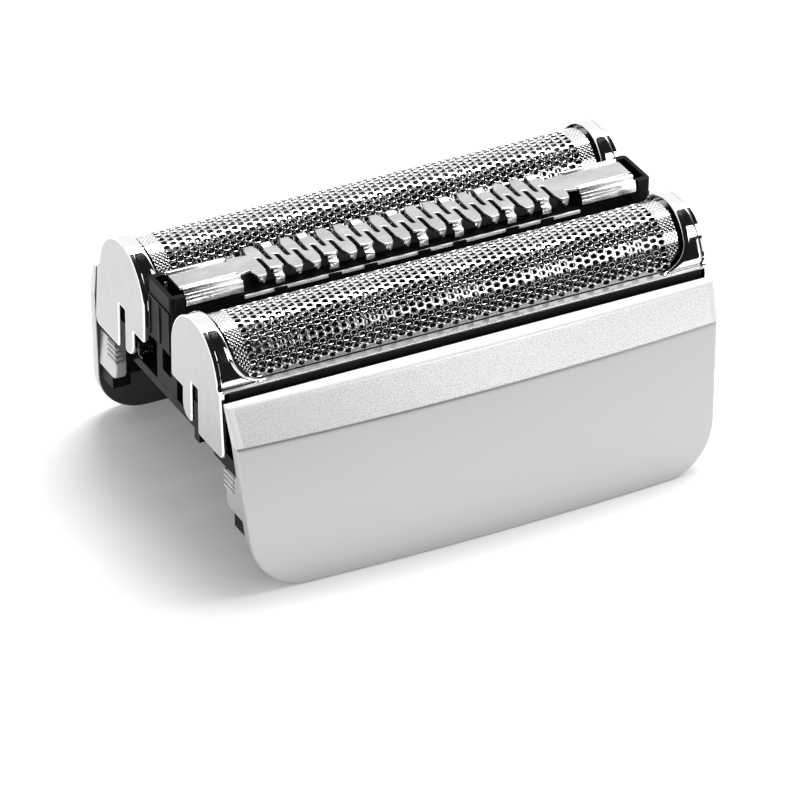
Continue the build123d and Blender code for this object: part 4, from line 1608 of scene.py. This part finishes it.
@dataclass
class LeafSprings:
    """Bent leaf springs of one floating unit, a pair at the ends of the cassette."""

    name: str
    joint: str
    centre_y: float
    low: float
    high: float
    half: float
    width: float
    middle_x: float
    thick: float = 0.15
    foot: float = 0.7
    flat: float = 1.0
    edge_r: float = 0.04
    squashed: float = 0.06

    def build(self, finishes: Finishes) -> None:
        """Makes the pair: a path of feet, slopes and crown, eased by a cubic, thickened upwards.

        Args:
            finishes: the finishes.
        """
        y = np.linspace(-self.half, self.half, 41)
        run = self.half - self.foot - self.flat / 2
        share = np.clip((self.half - self.foot - np.abs(y)) / run, 0, 1)
        z = self.low + (self.high - self.thick - self.low) * share**2 * (3 - 2 * share)
        path = np.column_stack([y + self.centre_y, z])
        shell = Shell()
        ends = (self.middle_x - self.width / 2, self.middle_x + self.width / 2)
        shell.strip(path, self.thick, *ends, self.edge_r)
        shell.join(shell.mirror(x=-1))
        piece = shell.mesh(f"{self.name}_dressed", [finishes.spring])
        fit(piece, "housing", "spring_steel", self.name)
        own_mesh(piece)


@dataclass
class Studio:
    """White floor, soft lamps, dark and bright cards that only gloss sees, and the camera."""

    azimuth: float = -27.65
    elevation: float = 31.35
    roll: float = 0.51
    focal_px: float = 5634.51
    distance: float = 491.2
    target: tuple[float, float, float] = (0.0, 0.0, 10.0)
    target_px: tuple[float, float] = (402.02, 341.84)
    floor_half: float = 3000.0
    floor_tone: float = 0.8
    floor_lift: float = 0.15
    ambient: float = 0.6
    dark: float = 0.012
    bright: float = 4.0
    card_r: float = 800.0
    window_r: float = 780.0

    def camera(self) -> None:
        """Places the camera: turned about its own place so that the target falls on its pixel."""
        a, e, r = np.radians([self.azimuth, self.elevation, self.roll])
        back = np.array([np.sin(a) * np.cos(e), -np.cos(a) * np.cos(e), np.sin(e)])
        right = np.array([np.cos(a), np.sin(a), 0.0])
        up = np.cross(back, right)
        right, up = np.cos(r) * right + np.sin(r) * up, np.cos(r) * up - np.sin(r) * right
        place = np.array(self.target) + back * self.distance
        middle = IMAGE_SIDE / 2
        across = (middle - self.target_px[0]) / self.focal_px
        rise = (self.target_px[1] - middle) / self.focal_px
        aim = back - right * across - up * rise
        aim /= np.linalg.norm(aim)
        right = np.cross(up, aim)
        right /= np.linalg.norm(right)
        up = np.cross(aim, right)
        data = bpy.data.cameras.new("camera")
        data.sensor_width = 36.0
        data.lens = self.focal_px / IMAGE_SIDE * data.sensor_width
        data.clip_end = 100.0
        made = bpy.data.objects.new("camera", data)
        pose = np.eye(4)
        pose[:3, :3] = np.column_stack([right, up, aim])
        pose[:3, 3] = place * MM
        made.matrix_world = Matrix(pose.tolist())
        bpy.context.scene.collection.objects.link(made)
        bpy.context.scene.camera = made

    def lamp(
        self, name: str, place: tuple[float, ...], size: tuple[float, float], power: float
    ) -> None:
        """Adds a soft box that faces the object.

        Args:
            name: name of the lamp.
            place: its place in millimetres.
            size: its two sides in millimetres.
            power: its power in watts.
        """
        data = bpy.data.lights.new(name, "AREA")
        data.shape = "RECTANGLE"
        data.size, data.size_y = size[0] * MM, size[1] * MM
        data.energy = power
        made = bpy.data.objects.new(name, data)
        spot = np.array(place)
        away = spot - np.array(self.target)
        away /= np.linalg.norm(away)
        side = np.cross([0.0, 0.0, 1.0], away)
        side /= np.linalg.norm(side)
        pose = np.eye(4)
        pose[:3, :3] = np.column_stack([side, np.cross(away, side), away])
        pose[:3, 3] = spot * MM
        made.matrix_world = Matrix(pose.tolist())
        bpy.context.scene.collection.objects.link(made)

    def card(self, name: str, corners: list[tuple[float, float]], level: float, r: float) -> None:
        """Adds a card that shows only in gloss: a piece of a sphere about the object.

        The angles l and a are blended between the corners, and the place is the radius times
        (sin l, -cos l cos a, cos l sin a).

        Args:
            name: name of the card.
            corners: lean to the right and angle over the front of each corner, in degrees.
            level: brightness; at 0 the card is black.
            r: radius of the sphere in millimetres.
        """
        across = np.linspace(0, 1, 25)[None, :, None]
        rise = np.linspace(0, 1, 25)[:, None, None]
        first, second, third, fourth = np.radians(corners)
        low = first + (second - first) * across
        high = fourth + (third - fourth) * across
        lean, angle = np.moveaxis(low + (high - low) * rise, -1, 0)
        spot = [np.sin(lean), -np.cos(lean) * np.cos(angle), np.cos(lean) * np.sin(angle)]
        self.gloss(name, r * np.stack(spot, axis=-1) + np.array(self.target), level)

    def mat(self, name: str, corners: list[tuple[float, float]], level: float) -> None:
        """Adds a flat mat just over the floor that shows only in gloss.

        Args:
            name: name of the mat.
            corners: X and Y of its near left, near right, far right and far left corner.
            level: brightness; at 0 the mat is black.
        """
        points = np.column_stack([np.array(corners, dtype=float), np.ones(4)])
        self.gloss(name, points[[0, 1, 3, 2]].reshape(2, 2, 3), level)

    def gloss(self, name: str, points: np.ndarray, level: float) -> None:
        """Makes a glowing sheet that shows only in gloss.

        Args:
            name: name of the sheet.
            points: array of rows, columns and places.
            level: its brightness.
        """
        shell = Shell()
        shell.net(points)
        sheet = Sheet.named(name)
        glow = {"Color": grey(1.0), "Strength": level}
        sheet.show(sheet.node("ShaderNodeEmission", {}, glow))
        made = shell.mesh(name, [sheet.owner])
        made.visible_camera = False
        made.visible_diffuse = False
        made.visible_shadow = False
        made.visible_transmission = False

    def floor(self) -> None:
        """Adds the floor: white, brightened for camera and gloss so that it ends in white."""
        corners = np.array([(-1, -1, 0), (1, -1, 0), (1, 1, 0), (-1, 1, 0)]) * self.floor_half * MM
        data = bpy.data.meshes.new("floor")
        data.from_pydata(corners.tolist(), [], [[0, 1, 2, 3]])
        sheet = Sheet.named("white floor")
        plain = sheet.node("ShaderNodeBsdfDiffuse", {}, {"Color": grey(self.floor_tone)})
        glow = {"Color": grey(1.0), "Strength": self.seen(sheet) * self.floor_lift}
        lift = sheet.node("ShaderNodeEmission", {}, glow)
        sheet.show(sheet.node("ShaderNodeAddShader", {}, {0: plain, 1: lift}))
        data.materials.append(sheet.owner)
        made = bpy.data.objects.new("floor", data)
        bpy.context.scene.collection.objects.link(made)

    def seen(self, sheet: Sheet) -> Wire:
        """One for rays from the camera, gloss or glass.

        Args:
            sheet: the sheet that reads the rays.

        Returns:
            The wire of that share.
        """
        camera = sheet.node("ShaderNodeLightPath", {}, {}, "Is Camera Ray")
        gloss = sheet.node("ShaderNodeLightPath", {}, {}, "Is Glossy Ray")
        glass = sheet.node("ShaderNodeLightPath", {}, {}, "Is Transmission Ray")
        return (camera + gloss + glass) > 0.5

    def world(self) -> None:
        """Sets a white world for the camera and gloss, and a plain level for the rest."""
        sheet = Sheet(bpy.data.worlds.new("studio"))
        level = self.ambient + self.seen(sheet) * (1 - self.ambient)
        glow = sheet.node("ShaderNodeBackground", {}, {"Color": grey(1.0), "Strength": level})
        sheet.show(glow, "ShaderNodeOutputWorld")
        bpy.context.scene.world = sheet.owner

    def build(self) -> None:
        """Builds the whole studio."""
        self.camera()
        self.floor()
        self.world()
        self.lamp("top softbox", place=(250, 250, 900), size=(520, 520), power=8.4)
        self.lamp("right softbox", place=(760, 100, 540), size=(600, 500), power=4.5)
        over = [(-75, -0.6), (31, -0.6), (28, 104), (-75, 90)]
        self.card("dark card", over, self.dark, self.card_r)
        before = [(-150, -69), (75, -69), (475, -795), (-1800, -795)]
        self.mat("dark mat", before, self.dark)
        beside = [(28, 26), (70, 26), (70, 110), (28, 104)]
        self.card("side card", beside, self.dark, self.card_r)
        corner = [(22.4, 25), (26.5, 34), (26.5, 59), (22.8, 38)]
        self.card("window", corner, self.bright, self.window_r)
        pane = [(26.5, 34), (60, 34), (60, 59), (26.5, 59)]
        self.card("side window", pane, self.bright, self.window_r)
        bpy.context.scene.view_settings.view_transform = "Standard"


def main() -> None:
    """Builds the finishes, every piece and the studio."""
    logging.basicConfig(level=logging.INFO, format="%(message)s")
    finishes = Finishes.build()
    for side in Side:
        SidePanel().build(side, finishes)
        FoilTrim().build(side, finishes)
        PerforatedFoil().build(side, finishes)
        dress(f"{side.label}_foil_carrier", finishes.black, edge=0.08)
        dress(f"{side.label}_cutter_carrier", finishes.grey, edge=0.1)
        CutterBlock().build(side, finishes)
        LeafSprings(
            f"{side.label}_foil_springs", f"{side.label}_foil_float",
            centre_y=side.value * PerforatedFoil.foil_y,
            low=11.5, high=13.1, half=2.0, width=1.4, middle_x=21.81,
        ).build(finishes)
    Trimmer().build(finishes)
    LeafSprings(
        "trimmer_springs", "trimmer_float",
        centre_y=0.0, low=17.0, high=18.6, half=1.75, width=1.0, middle_x=21.95,
    ).build(finishes)
    dress("inner_frame", finishes.black, edge=0.09)
    Studio().build()
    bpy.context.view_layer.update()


if __name__ == "__main__":
    main()
